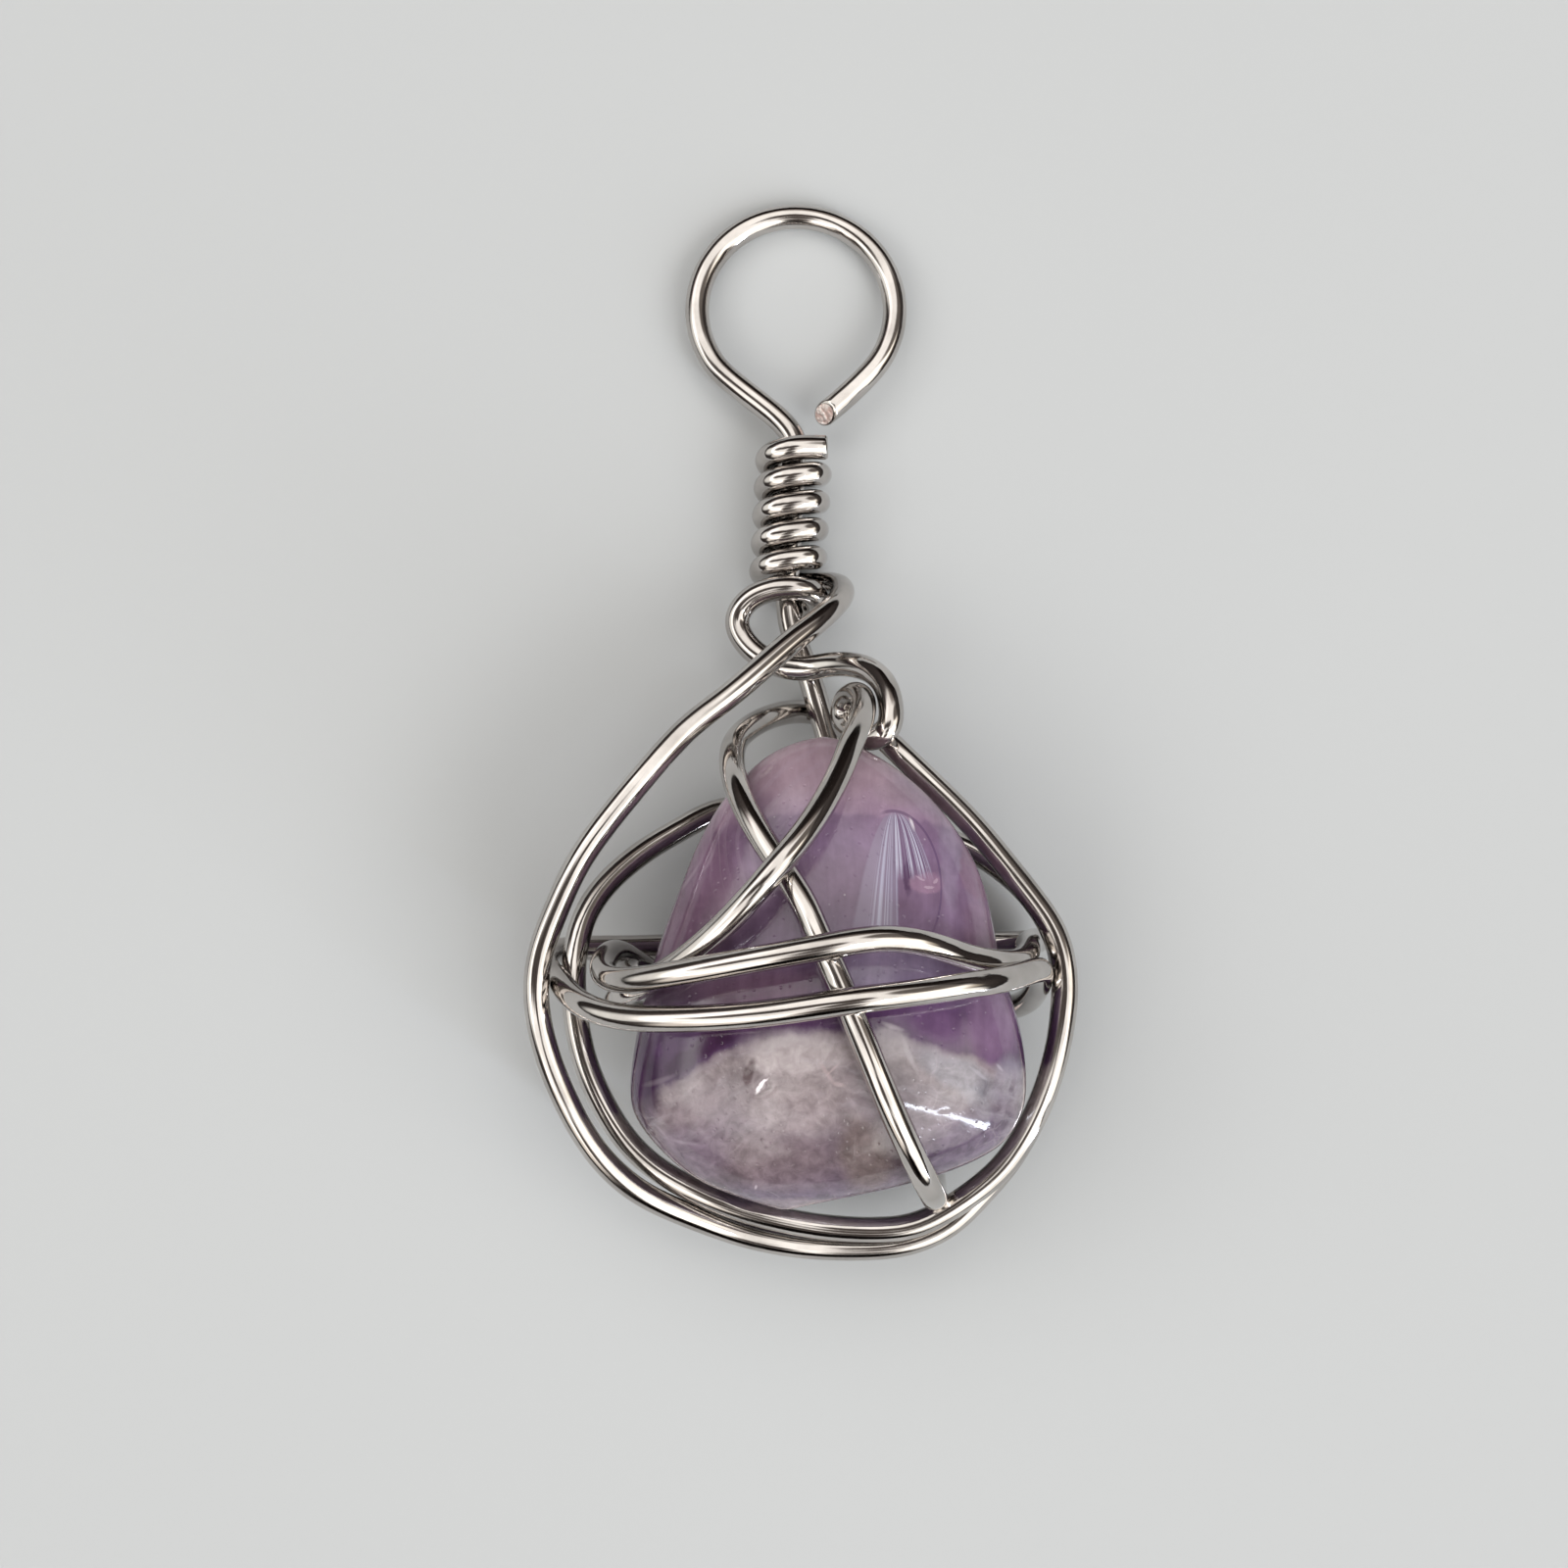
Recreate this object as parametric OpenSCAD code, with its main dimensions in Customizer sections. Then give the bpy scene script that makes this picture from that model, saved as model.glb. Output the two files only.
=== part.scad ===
// Stone pendant, lying on its back: a tumbled amethyst caged in three lengths
// of round wire. Millimetres. X to the right, Y towards the eye loop, Z up
// from the surface that it lies on.

/* [Wire] */
// Diameter of the round wire that all three lengths are cut from
wire_d = 1.0; // [0.8:0.05:1]
// Flats round the section of the wire
wire_sides = 12; // [8:2:16]
// Chamfer that the cutter and a file leave on a cut end
end_chamfer = 0.12; // [0.02:0.02:0.24]

/* [Eye loop] */
// Radius of the loop at the middle of the wire
eye_r = 4.15; // [3.4:0.05:4.4]
// Middle of the loop, across
eye_x = -0.1; // [-0.5:0.05:0.5]
// Middle of the loop, along the pendant
eye_y = 17.6; // [17:0.1:18.5]

/* [Neck coil] */
// Turns of the coil round the neck
coil_turns = 5; // [4:1:5]
// Distance from one turn to the next
coil_pitch = 1.16; // [1.1:0.01:1.18]
// Room between the coil and the wire inside it
coil_clearance = 0.04; // [0.02:0.01:0.1]

/* [Stone] */
// Height of the front of the stone above its widest level
stone_front = 4.1; // [3:0.1:4.2]
// Depth of the back of the stone below its widest level
stone_back = 3.95; // [3:0.05:4]
// Corners round one section of the stone
stone_sides = 36; // [24:4:48]

/* [Hidden] */

wire_r = wire_d / 2;
end_share = 0.8;                  // how far a chamfer takes the radius in, as a share of its length
end_r = wire_r - end_share * end_chamfer;
longest_step = 0.9;               // along a straight stretch of wire
widest_bend = 15;                 // degrees from one ring of a tube to the next
neck_z = 1.57;                    // middle of the neck above the surface
eye_slope = 0.107;                // fall of the eye loop per millimetre away from the neck
shift = [-0.175, -0.36, 0.01];     // brings the middle of the outline to X = Y = 0, the lowest wire to Z = 0
widest_z = 6.2;                   // level at which the stone is widest
section_power = 0.9;              // 1 makes the stone's sections ellipses, less makes them fuller

// Points and smooth lines
function unit(v) = v / norm(v);

// Control points of a cubic B-spline that passes (within microns) through p
function controls(p) = [for (i = [0 : len(p) - 1])
    i == 0 || i == len(p) - 1 ? p[i] : p[i] - (p[i - 1] - 2 * p[i] + p[i + 1]) / 6];

// One point of a cubic B-spline span with controls a, b, c, d
function span_point(a, b, c, d, t) = (a * pow(1 - t, 3) + b * (3 * pow(t, 3) - 6 * t * t + 4)
    + c * (3 * t * t - 3 * pow(t, 3) + 3 * t + 1) + d * pow(t, 3)) / 6;

function bend(p, i) = i <= 0 || i >= len(p) - 1 ? 0
    : acos(min(1, max(-1, unit(p[i] - p[i - 1]) * unit(p[i + 1] - p[i]))));

// Steps in the span after point i: more where the route bends
function steps(p, i) = ceil(max(norm(p[i + 1] - p[i]) / longest_step,
    max(bend(p, i), bend(p, i + 1)) / widest_bend, 1));

function smooth_line(p) = let (q = controls(p), n = len(q),
    e = concat([2 * q[0] - q[1]], q, [2 * q[n - 1] - q[n - 2]]))
    concat([for (i = [0 : n - 2], k = [0 : steps(p, i) - 1])
        span_point(e[i], e[i + 1], e[i + 2], e[i + 3], k / steps(p, i))],
        [span_point(e[n - 2], e[n - 1], e[n], e[n + 1], 1)]);

// A round wire along a line, with both cut ends chamfered
function line_dir(c, i) = unit(c[min(i + 1, len(c) - 1)] - c[max(i - 1, 0)]);
function side_start(t) = unit(cross(t, abs(t[2]) < 0.9 ? [0, 0, 1] : [1, 0, 0]));
function carried(r, t) = unit(r - t * (r * t));
function sides_along(t) = [for (i = 0, r = side_start(t[0]); i < len(t);
    i = i + 1, r = i < len(t) ? carried(r, t[i]) : r) r];

module wire(route) {
    c0 = smooth_line(route);
    n0 = len(c0);
    c = concat([c0[0], c0[0] + unit(c0[1] - c0[0]) * end_chamfer],
        [for (i = [1 : n0 - 2]) c0[i]],
        [c0[n0 - 1] - unit(c0[n0 - 1] - c0[n0 - 2]) * end_chamfer, c0[n0 - 1]]);
    n = len(c);
    t = [for (i = [0 : n - 1]) line_dir(c, i)];
    a = sides_along(t);
    k = wire_sides;
    pts = [for (i = [0 : n - 1], j = [0 : k - 1])
        let (r = i == 0 || i == n - 1 ? end_r : wire_r, w = 360 * (j + 0.5) / k)
        c[i] + r * (cos(w) * a[i] + sin(w) * cross(t[i], a[i]))];
    polyhedron(pts, concat(
        [[for (j = [0 : k - 1]) j]],
        [for (i = [0 : n - 2], j = [0 : k - 1])
            [i * k + j, (i + 1) * k + j, i * k + (j + 1) % k]],
        [for (i = [0 : n - 2], j = [0 : k - 1])
            [i * k + (j + 1) % k, (i + 1) * k + j, (i + 1) * k + (j + 1) % k]],
        [[for (j = [k - 1 : -1 : 0]) (n - 1) * k + j]]));
}

// The eye loop slopes down from the neck until its far side lies on the surface
function eye_z(y) = neck_z - eye_slope * (y - core_top[1]);
core_top = [-0.15, 11.9, neck_z]; // the straight wire inside the coil, from here
core_end = [-0.45, 6.2, neck_z];  // to here
eye_arc = [for (w = [-45 : 15 : 225])
    let (y = eye_y + eye_r * sin(w)) [eye_x + eye_r * cos(w), y, eye_z(y)]];

coil_r = wire_d + coil_clearance;
coil_wider = 0.05;                // how much further the coil stands out at its sides
coil_corner_right = 4;            // 2 makes a round turn, more makes it squarer
coil_corner_left = 2.6;
first_y = 11.31;                  // where the first turn crosses the front
coil_end = [1.50, 0.08, 0.82];    // the cut end of the coil, from the middle of the neck
function core_at(y) = core_top + (core_end - core_top) * (core_top[1] - y) / (core_top[1] - core_end[1]);
// Pliers pull a turn flat over the front and tight round its corners, the right ones most
function turn_reach(w) = let (n = cos(w) > 0 ? coil_corner_right : coil_corner_left)
    pow(pow(abs(cos(w)) / (coil_r + coil_wider), n) + pow(abs(sin(w)) / coil_r, n), -1 / n);
// w counts from the right side, over the front, to the left and behind
coil = [for (w = [75 : 30 : 360 * coil_turns - 60])
    let (c = core_at(first_y - coil_pitch * (w - 90) / 360))
    c + turn_reach(w) * [cos(w), 0, sin(w)]];

// First wire: eye loop, neck, stem, down behind the stone, up over its front
// and back beside the stem
eye_right_leg = [
    // x,    y,     z
    [0.75, 12.78, 1.47],          // cut end above the coil
    [1.65, 13.50, 1.40]];
eye_left_leg = [
    [-1.40, 13.32, 1.42],
    [-0.78, 12.74, 1.50],
    core_top];
stem_and_back = [
    core_at(11.0),
    core_at(10.0),
    core_at(8.0),
    core_at(7.0),
    core_end,
    [-0.45, 5.10, neck_z],        // below the coil
    [-0.30, 4.00, neck_z],
    [0.05, 3.00, neck_z],
    [0.45, 2.00, neck_z],
    [0.85, 0.60, neck_z],
    [1.20, -0.50, neck_z],
    [2.20, -4.45, neck_z],        // behind the stone
    [3.40, -8.50, neck_z],
    [4.35, -12.50, neck_z],
    [5.10, -16.20, neck_z],
    [5.30, -17.60, 2.10]];
front_diagonal = [
    [5.30, -18.20, 3.30],         // round the lower edge of the stone
    [5.25, -18.55, 4.80],
    [5.15, -18.72, 6.60],
    [4.90, -18.35, 8.60],
    [4.20, -17.00, 10.00],        // down the front
    [3.30, -15.10, 10.75],
    [2.55, -13.30, 11.00],
    [1.30, -10.25, 11.00],
    [0.50, -8.50, 10.70],
    [0.00, -7.35, 10.35],
    [-1.20, -5.55, 9.60],
    [-2.05, -4.00, 8.75],
    [-2.50, -2.75, 7.70],         // over the upper left shoulder
    [-2.62, -1.75, 6.40],
    [-2.40, -0.85, 4.90],
    [-1.60, -0.05, 3.25],
    [-0.70, 0.45, 1.75],
    [0.10, 0.65, 0.75],
    [0.95, 0.60, 0.52]];          // cut end under the stem

// Second wire: coil, outer hoop, behind the top of the stone, inner hoop
outer_hoop = [
    [0.45, 5.98, 0.62],           // out from behind the neck
    [1.30, 5.93, 1.08],
    [1.72, 5.65, 1.95],           // the bend at the right
    [1.75, 5.10, 3.05],
    [1.28, 4.42, 4.00],
    [0.60, 3.70, 4.60],
    [-0.40, 2.85, 5.15],
    [-1.80, 1.50, 5.75],
    [-3.10, 0.35, 6.15],
    [-4.45, -0.75, 6.50],
    [-5.95, -2.50, 6.80],
    [-7.35, -4.25, 7.00],
    [-8.50, -5.90, 7.10],
    [-9.30, -7.65, 7.10],
    [-9.95, -9.45, 7.10],
    [-10.10, -11.20, 7.05],       // left side
    [-9.75, -13.10, 6.85],
    [-9.00, -15.05, 6.50],
    [-7.90, -17.05, 5.80],
    [-6.30, -18.65, 5.05],
    [-4.35, -19.62, 4.30],
    [-2.45, -20.38, 3.70],
    [-0.60, -20.82, 3.45],
    [1.00, -21.00, 3.20],         // lowest point
    [2.70, -21.03, 3.08],
    [4.30, -20.85, 3.05],
    [5.95, -20.15, 3.05],
    [7.15, -18.95, 3.25],
    [8.35, -17.55, 3.55],
    [9.45, -15.50, 3.90],
    [10.15, -13.35, 4.20],        // right side, under the inner hoop
    [10.45, -10.90, 4.35],
    [10.25, -9.00, 4.00],
    [9.50, -7.40, 3.30],
    [8.20, -5.95, 2.25],
    [5.90, -4.60, 1.10],          // turns in behind the top of the stone
    [2.20, -3.70, 0.52],
    [-1.00, -3.30, 0.70],
    [-3.25, -3.50, 1.25],
    [-4.65, -4.25, 1.85]];
inner_hoop = [
    [-6.05, -5.10, 2.45],         // out again at the left
    [-7.40, -6.25, 3.10],
    [-8.30, -7.45, 3.65],
    [-8.75, -8.70, 4.10],
    [-8.90, -10.10, 4.40],        // left side
    [-8.80, -11.80, 4.50],
    [-8.35, -13.90, 4.55],
    [-7.20, -16.15, 4.50],
    [-5.95, -17.55, 4.45],
    [-4.35, -18.53, 4.55],
    [-2.45, -19.33, 4.48],
    [-0.50, -19.85, 4.32],
    [1.35, -20.15, 4.15],         // lowest point
    [3.35, -20.20, 4.15],
    [5.00, -19.88, 4.15],
    [7.00, -18.60, 4.35],
    [8.30, -17.30, 4.65],
    [9.35, -15.40, 5.00],
    [10.00, -13.40, 5.30],
    [10.40, -11.00, 5.45],        // right side
    [10.15, -9.05, 5.45],
    [9.45, -7.70, 5.40],
    [8.15, -6.00, 5.30],
    [6.80, -4.30, 5.15],
    [4.95, -2.45, 5.00],
    [3.72, -1.22, 4.80],
    [3.10, -0.52, 4.22]];         // cut end under the small loop

// Third wire: two small loops at the neck, upper diagonal, two bands
small_loops = [
    [-0.40, 4.95, 0.52],          // cut end behind the stem
    [0.45, 4.85, 0.75],
    [0.82, 5.02, 1.70],
    [0.45, 5.40, 2.50],
    [-0.35, 5.50, 2.77],          // across the stem under the coil
    [-1.20, 5.40, 2.70],
    [-2.00, 5.05, 2.55],
    [-2.50, 4.35, 2.40],
    [-2.35, 3.55, 2.45],
    [-1.65, 2.75, 2.62],
    [-0.75, 2.30, 2.75],
    [0.20, 2.15, 2.85],           // across the stem again
    [1.15, 2.25, 3.35],
    [2.05, 2.15, 4.10],
    [2.85, 1.80, 4.85],
    [3.38, 1.15, 5.45],
    [3.57, 0.38, 5.85],
    [3.57, -0.35, 6.05],
    [3.20, -0.92, 5.88],          // over the end of the inner hoop
    [2.45, -0.90, 5.10],
    [1.98, -0.55, 4.20],          // tucks under the tip of the stone
    [1.75, 0.10, 3.70],
    [1.90, 0.75, 4.00],
    [2.28, 0.86, 4.90],
    [2.50, 0.48, 5.80]];
upper_diagonal = [
    [2.48, -0.05, 6.60],
    [2.30, -0.70, 7.40],
    [1.90, -1.60, 8.25],
    [1.45, -2.80, 9.10],
    [0.40, -4.70, 10.35],
    [-0.95, -6.40, 11.08],        // over the front diagonal
    [-2.35, -8.00, 10.72],
    [-3.90, -9.40, 9.80],
    [-5.25, -10.30, 8.85],
    [-6.45, -10.85, 7.60],
    [-7.10, -11.25, 6.00],        // round the left edge of the stone
    [-7.00, -11.60, 4.10],
    [-6.10, -11.80, 2.30],
    [-4.60, -11.75, 1.10],
    [-2.00, -11.65, 0.54],        // behind the stone
    [1.00, -11.50, 0.52],
    [4.00, -11.35, 0.52],
    [6.40, -11.50, 0.55],
    [7.90, -11.55, 0.85],
    [8.60, -11.54, 1.50],
    [9.15, -11.30, 2.75],
    [9.36, -10.85, 4.30],
    [9.36, -10.38, 5.90]];
lower_band = [
    [9.22, -10.12, 7.05],
    [8.80, -10.15, 8.00],
    [7.65, -10.45, 9.80],
    [6.05, -10.70, 10.95],
    [3.80, -11.00, 11.85],
    [1.70, -11.25, 12.10],        // over the front diagonal
    [-1.70, -11.75, 11.55],
    [-4.90, -11.92, 10.40],
    [-6.95, -11.80, 9.30],
    [-8.40, -11.30, 8.10],
    [-9.20, -10.60, 6.48],
    [-9.90, -9.95, 5.30],         // round the inner hoop at the left
    [-9.95, -9.45, 4.00],
    [-9.20, -9.20, 2.90],
    [-8.00, -9.15, 2.10],
    [-6.20, -9.10, 1.25],
    [-4.00, -9.00, 0.70],
    [-1.00, -8.90, 0.52],         // behind the stone
    [3.00, -8.80, 0.52],
    [5.50, -8.88, 0.52],
    [8.00, -8.95, 0.58],
    [9.35, -8.90, 1.05],
    [9.72, -8.85, 1.85],
    [9.38, -8.88, 2.90],
    [9.02, -9.08, 4.30]];
upper_band = [
    [8.92, -9.35, 5.60],
    [8.58, -9.66, 6.85],
    [8.05, -9.82, 7.98],
    [7.20, -9.80, 9.00],
    [6.15, -9.60, 9.80],
    [5.00, -9.25, 10.75],
    [3.10, -8.95, 11.65],
    [0.90, -9.30, 11.98],         // over the front diagonal
    [-1.70, -9.75, 11.60],
    [-4.25, -10.20, 10.75],
    [-6.20, -10.48, 9.60],
    [-7.22, -10.38, 8.20],
    [-7.60, -9.98, 6.70],         // turns in at the left of the stone
    [-7.45, -9.42, 5.10],
    [-6.95, -9.45, 3.70],
    [-6.15, -10.00, 2.65],
    [-4.90, -10.55, 1.90],
    [-2.50, -11.10, 1.59],
    [0.00, -11.60, 1.59],         // over the first strand behind the stone
    [2.00, -12.20, 1.30],
    [3.30, -12.70, 0.70],
    [4.50, -13.00, 0.52],
    [5.80, -13.10, 0.54],
    [7.10, -12.95, 0.80]];        // cut end behind the stone, at the right

module hanger_wire() color("#c9c6c2")
    translate(shift) wire(concat(eye_right_leg, eye_arc, eye_left_leg, stem_and_back, front_diagonal));

module frame_wire() color("#bdb9b5")
    translate(shift) wire(concat([core_at(first_y) + coil_end], coil, outer_hoop, inner_hoop));

module cage_wire() color("#d2cfca")
    translate(shift) wire(concat(small_loops, upper_diagonal, lower_band, upper_band));

// The stone: sections across X and Z, one after the other along Y
stone_rows = [
    // y,     left,  right, back, front   (back and front as shares of the depth)
    [-19.25, -0.85, -0.25, 0.10, 0.10],
    [-18.95, -1.85, 1.10, 0.33, 0.30],
    [-18.55, -3.00, 3.10, 0.52, 0.48],
    [-18.00, -4.15, 5.20, 0.68, 0.64],
    [-17.00, -5.35, 7.50, 0.83, 0.80],
    [-15.85, -6.25, 8.40, 0.92, 0.91],
    [-14.70, -6.55, 8.75, 0.98, 0.98],
    [-12.60, -6.32, 8.62, 1.00, 1.00],
    [-10.45, -5.85, 8.00, 1.00, 0.94],
    [-8.80, -5.35, 7.62, 0.98, 0.89],
    [-7.10, -4.72, 7.28, 0.95, 0.83],
    [-5.50, -4.10, 6.65, 0.89, 0.72],
    [-4.05, -3.35, 5.70, 0.78, 0.60],
    [-3.05, -2.65, 4.80, 0.63, 0.50],
    [-2.10, -1.75, 3.65, 0.40, 0.38],
    [-1.50, -0.90, 2.60, 0.24, 0.28],
    [-1.15, 0.00, 1.85, 0.14, 0.18],
    [-1.00, 0.75, 1.15, 0.06, 0.08]];
function spower(c, e) = sign(c) * pow(abs(c), e);

module stone() color("#9a7fae") translate(shift) {
    q = controls(stone_rows);
    m = len(q);
    e = concat([2 * q[0] - q[1]], q, [2 * q[m - 1] - q[m - 2]]);
    rows = concat([for (i = [0 : m - 2], k = [0 : 1])
        span_point(e[i], e[i + 1], e[i + 2], e[i + 3], k / 2)],
        [span_point(e[m - 2], e[m - 1], e[m], e[m + 1], 1)]);
    n = len(rows);
    k = stone_sides;
    pts = [for (i = [0 : n - 1], j = [0 : k - 1])
        let (r = rows[i], w = 360 * j / k, c = cos(w), s = sin(w))
        [(r[1] + r[2]) / 2 + (r[2] - r[1]) / 2 * spower(c, section_power), r[0],
            widest_z + (s > 0 ? stone_front * r[4] : stone_back * r[3]) * spower(s, section_power)]];
    polyhedron(pts, concat(
        [[for (j = [k - 1 : -1 : 0]) j]],
        [for (i = [0 : n - 2], j = [0 : k - 1])
            [i * k + j, i * k + (j + 1) % k, (i + 1) * k + j]],
        [for (i = [0 : n - 2], j = [0 : k - 1])
            [i * k + (j + 1) % k, (i + 1) * k + (j + 1) % k, (i + 1) * k + j]],
        [[for (j = [0 : k - 1]) (n - 1) * k + j]]));
}

stone();
hanger_wire();
frame_wire();
cage_wire();
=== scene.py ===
# %% [markdown]
# A stone pendant: a tumbled amethyst caged in three lengths of round wire, with a wound neck and an eye
# loop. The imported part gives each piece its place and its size. The script makes each piece again with a
# finer surface, gives it its finish, and lights it.

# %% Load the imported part
import math

import bmesh
import bpy
from mathutils import Matrix, Vector, noise


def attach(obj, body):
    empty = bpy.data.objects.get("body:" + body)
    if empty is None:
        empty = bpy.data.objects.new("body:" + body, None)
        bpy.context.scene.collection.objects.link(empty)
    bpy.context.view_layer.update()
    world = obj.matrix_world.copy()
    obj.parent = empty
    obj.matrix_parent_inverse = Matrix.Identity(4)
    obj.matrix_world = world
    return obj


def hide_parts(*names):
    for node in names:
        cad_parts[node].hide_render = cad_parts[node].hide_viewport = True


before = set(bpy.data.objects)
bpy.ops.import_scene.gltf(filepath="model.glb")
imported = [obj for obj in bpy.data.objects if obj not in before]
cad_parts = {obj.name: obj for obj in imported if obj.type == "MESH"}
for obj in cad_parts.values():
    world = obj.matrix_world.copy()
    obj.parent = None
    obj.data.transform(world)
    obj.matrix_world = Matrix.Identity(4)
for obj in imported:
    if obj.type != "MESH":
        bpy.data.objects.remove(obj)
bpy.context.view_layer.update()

print("packed nodes:", sorted(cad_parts))

# %% [markdown]
# The part is measured in millimetres and Blender in metres, so one number turns the first into the second.
# The part's own source moves every route by the same small step, to bring the middle of the outline to the
# origin, and the same step is used here.

# %% Units and place
MM = 0.001
SHIFT = Vector((-0.175, -0.36, 0.01))


def in_metres(point):
    """A point of the part's own tables, in millimetres, as a place in the scene."""
    return (Vector(point) + SHIFT) * MM


print("a route's origin lies at", in_metres((0, 0, 0)))

# %% [markdown]
# The camera looks down almost straight from above, as a person does who takes a close picture of something
# on a table. Its tilt was measured from straight lines in the picture. The lens and the distance can't be
# measured there, so they are assumed: about as near as a phone can still focus. A long lens from further
# away would flatten the pendant.

# %% Camera
aim = in_metres((-0.6, -2.3, 0))
elevation = math.radians(85)
distance = 98 * MM
camera = bpy.data.objects.new("camera", bpy.data.cameras.new("camera"))
bpy.context.collection.objects.link(camera)
camera.location = aim + distance * Vector((0, -math.cos(elevation), math.sin(elevation)))
camera.rotation_euler = (aim - camera.location).to_track_quat("-Z", "Y").to_euler()
camera.data.sensor_width = 36
camera.data.lens = 54
camera.data.clip_start = 0.001
bpy.context.scene.camera = camera
print("camera at", [round(v, 4) for v in camera.location], "lens", camera.data.lens)

# %% [markdown]
# One function turns a colour as a paint chart gives it, in hex, into the linear numbers that a shader works
# with. A second adds one node to the material in hand, with its options and its inputs, where an input may
# be a number, a colour or another node.

# %% Helpers for materials
def linear(hex_colour):
    """An sRGB hex colour as linear red, green, blue and a full alpha."""
    parts = [int(hex_colour[i:i + 2], 16) / 255 for i in (1, 3, 5)]
    return tuple(c / 12.92 if c <= 0.04045 else ((c + 0.055) / 1.055) ** 2.4 for c in parts) + (1.0,)


def new_material(name):
    """An empty material with its output and its main shader, and the two to build on."""
    material = bpy.data.materials.new(name)
    material.use_nodes = True
    return material, material.node_tree, material.node_tree.nodes["Principled BSDF"]


def add(tree, kind, inputs=(), stops=(), **options):
    """Adds a node of the named kind. inputs: {socket name or number: value or (node, output)}."""
    made = tree.nodes.new("ShaderNode" + kind)
    for key, value in options.items():
        setattr(made, key, value)
    for key, value in dict(inputs).items():
        if isinstance(value, bpy.types.Node):
            value = (value, 0)
        if isinstance(value, tuple) and isinstance(value[0], bpy.types.Node):
            tree.links.new(value[0].outputs[value[1]], made.inputs[key])
        else:
            made.inputs[key].default_value = value
    for i, (place, colour) in enumerate(stops):
        stop = made.color_ramp.elements[i] if i < 2 else made.color_ramp.elements.new(place)
        stop.position, stop.color = place, colour
    return made


print("mid grey turns into", [round(v, 3) for v in linear("#808080")])

# %% [markdown]
# Bright metal has no look of its own: it shows what stands round it. The room is painted straight onto the
# world: a grey that is darkest near the horizon, pools of light for the windows and walls, and dark cards in
# front, overhead and on the left, as a photographer sets them up to get dark lines along polished metal.
# Area lamps could do the same, but their square edges would show in the stone, so each pool has a soft edge.
# The one lamp here is a tall narrow strip that leans a little, like a door left ajar. It draws the crisp
# streak on the stone and the sharpest glints on the wire.

# %% Lights
POOLS = [
    # name, azimuth, height above the horizon, half width, soft edge (degrees), strength, colour, blend
    ("ceiling", 0, 90, 58, 8, 1.65, "#fefcf8", "ADD"),
    ("large window", -46, 30, 26, 7, 1.9, "#fffdf6", "ADD"),
    ("right wall", -2, 42, 16, 9, 0.8, "#fff3dc", "ADD"),
    ("left window", 178, 30, 22, 16, 1.3, "#fdfdf8", "ADD"),
    ("left window, near end", -122, 34, 19, 10, 1.3, "#fff8ee", "ADD"),
    ("left wall", 140, 40, 12, 9, 0.6, "#f8e9ea", "ADD"),
    ("dark corner at the back", 80, 18, 26, 12, 1.0, "#8d8683", "MULTIPLY"),
    ("dark corner on the right", 34, 45, 18, 9, 1.0, "#65605d", "MULTIPLY"),
    ("dark card, low", -90, 20, 14, 8, 1.0, "#3b3534", "MULTIPLY"),
    ("dark card, middle", -91, 44, 11, 7, 1.0, "#46403e", "MULTIPLY"),
    ("dark card, high", -92, 67, 10, 7, 1.0, "#4b4543", "MULTIPLY"),
    ("dark card, overhead", -90, 89, 12, 6, 1.0, "#4b4543", "MULTIPLY"),
    ("dark card, left of overhead", 176, 71, 11, 8, 1.0, "#4b4543", "MULTIPLY"),
    ("dark card, far left", 176, 54, 10, 10, 1.0, "#4b4543", "MULTIPLY"),
]
world = bpy.data.worlds.new("studio")
bpy.context.scene.world = world
world.use_nodes = True
sky = world.node_tree
direction = add(sky, "TexCoord")
height = add(sky, "SeparateXYZ", {0: direction})
glow = add(sky, "ValToRGB", {"Fac": (height, 2)},
           stops=[(0.0, linear("#2b2726")), (0.22, linear("#443e3c")), (0.5, linear("#5d5653"))])
light = (glow, 0)
for name, azimuth, lift, half, edge, strength, colour, blend in POOLS:
    a, e = math.radians(azimuth), math.radians(lift)
    towards = (math.cos(a) * math.cos(e), math.sin(a) * math.cos(e), math.sin(e))
    near = add(sky, "VectorMath", {0: direction, 1: towards}, operation="DOT_PRODUCT")
    mask = add(sky, "MapRange", {"Value": (near, 1), "From Min": math.cos(math.radians(half + edge / 2)),
                                 "From Max": math.cos(math.radians(half - edge / 2))},
               interpolation_type="SMOOTHSTEP")
    full = tuple(c * strength for c in linear(colour)[:3]) + (1.0,)
    light = (add(sky, "Mix", {0: mask, 6: light, 7: full}, data_type="RGBA", blend_type=blend), 2)
sky.links.new(light[0].outputs[light[1]], sky.nodes["Background"].inputs["Color"])

STRIP_AZIMUTH, STRIP_LEAN = math.radians(-45), math.radians(-9)
STRIP_AWAY, STRIP_WIDE, STRIP_TALL = 0.6, 0.030, 0.98      # metres
STRIP_ABOVE_FLOOR = 0.01
STRIP_POWER = 2.4           # watts
strip = bpy.data.objects.new("strip lamp", bpy.data.lights.new("strip lamp", "AREA"))
bpy.context.collection.objects.link(strip)
strip.data.shape = "RECTANGLE"
strip.data.size, strip.data.size_y = STRIP_WIDE, STRIP_TALL
strip.data.energy = STRIP_POWER
strip.data.color = linear("#e9f1ff")[:3]
strip.location = (STRIP_AWAY * math.cos(STRIP_AZIMUTH), STRIP_AWAY * math.sin(STRIP_AZIMUTH),
                  STRIP_TALL / 2 + STRIP_ABOVE_FLOOR)
strip.rotation_euler = (math.radians(90), STRIP_LEAN, STRIP_AZIMUTH + math.radians(90))

bpy.context.scene.view_settings.view_transform = "Standard"
print(len(POOLS), "pools of light and one lamp", [round(v, 2) for v in strip.location])

# %% [markdown]
# The floor is a plain pale sheet, matt like paper, so it throws soft light back under the wires and shows
# where they touch it.

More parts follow.
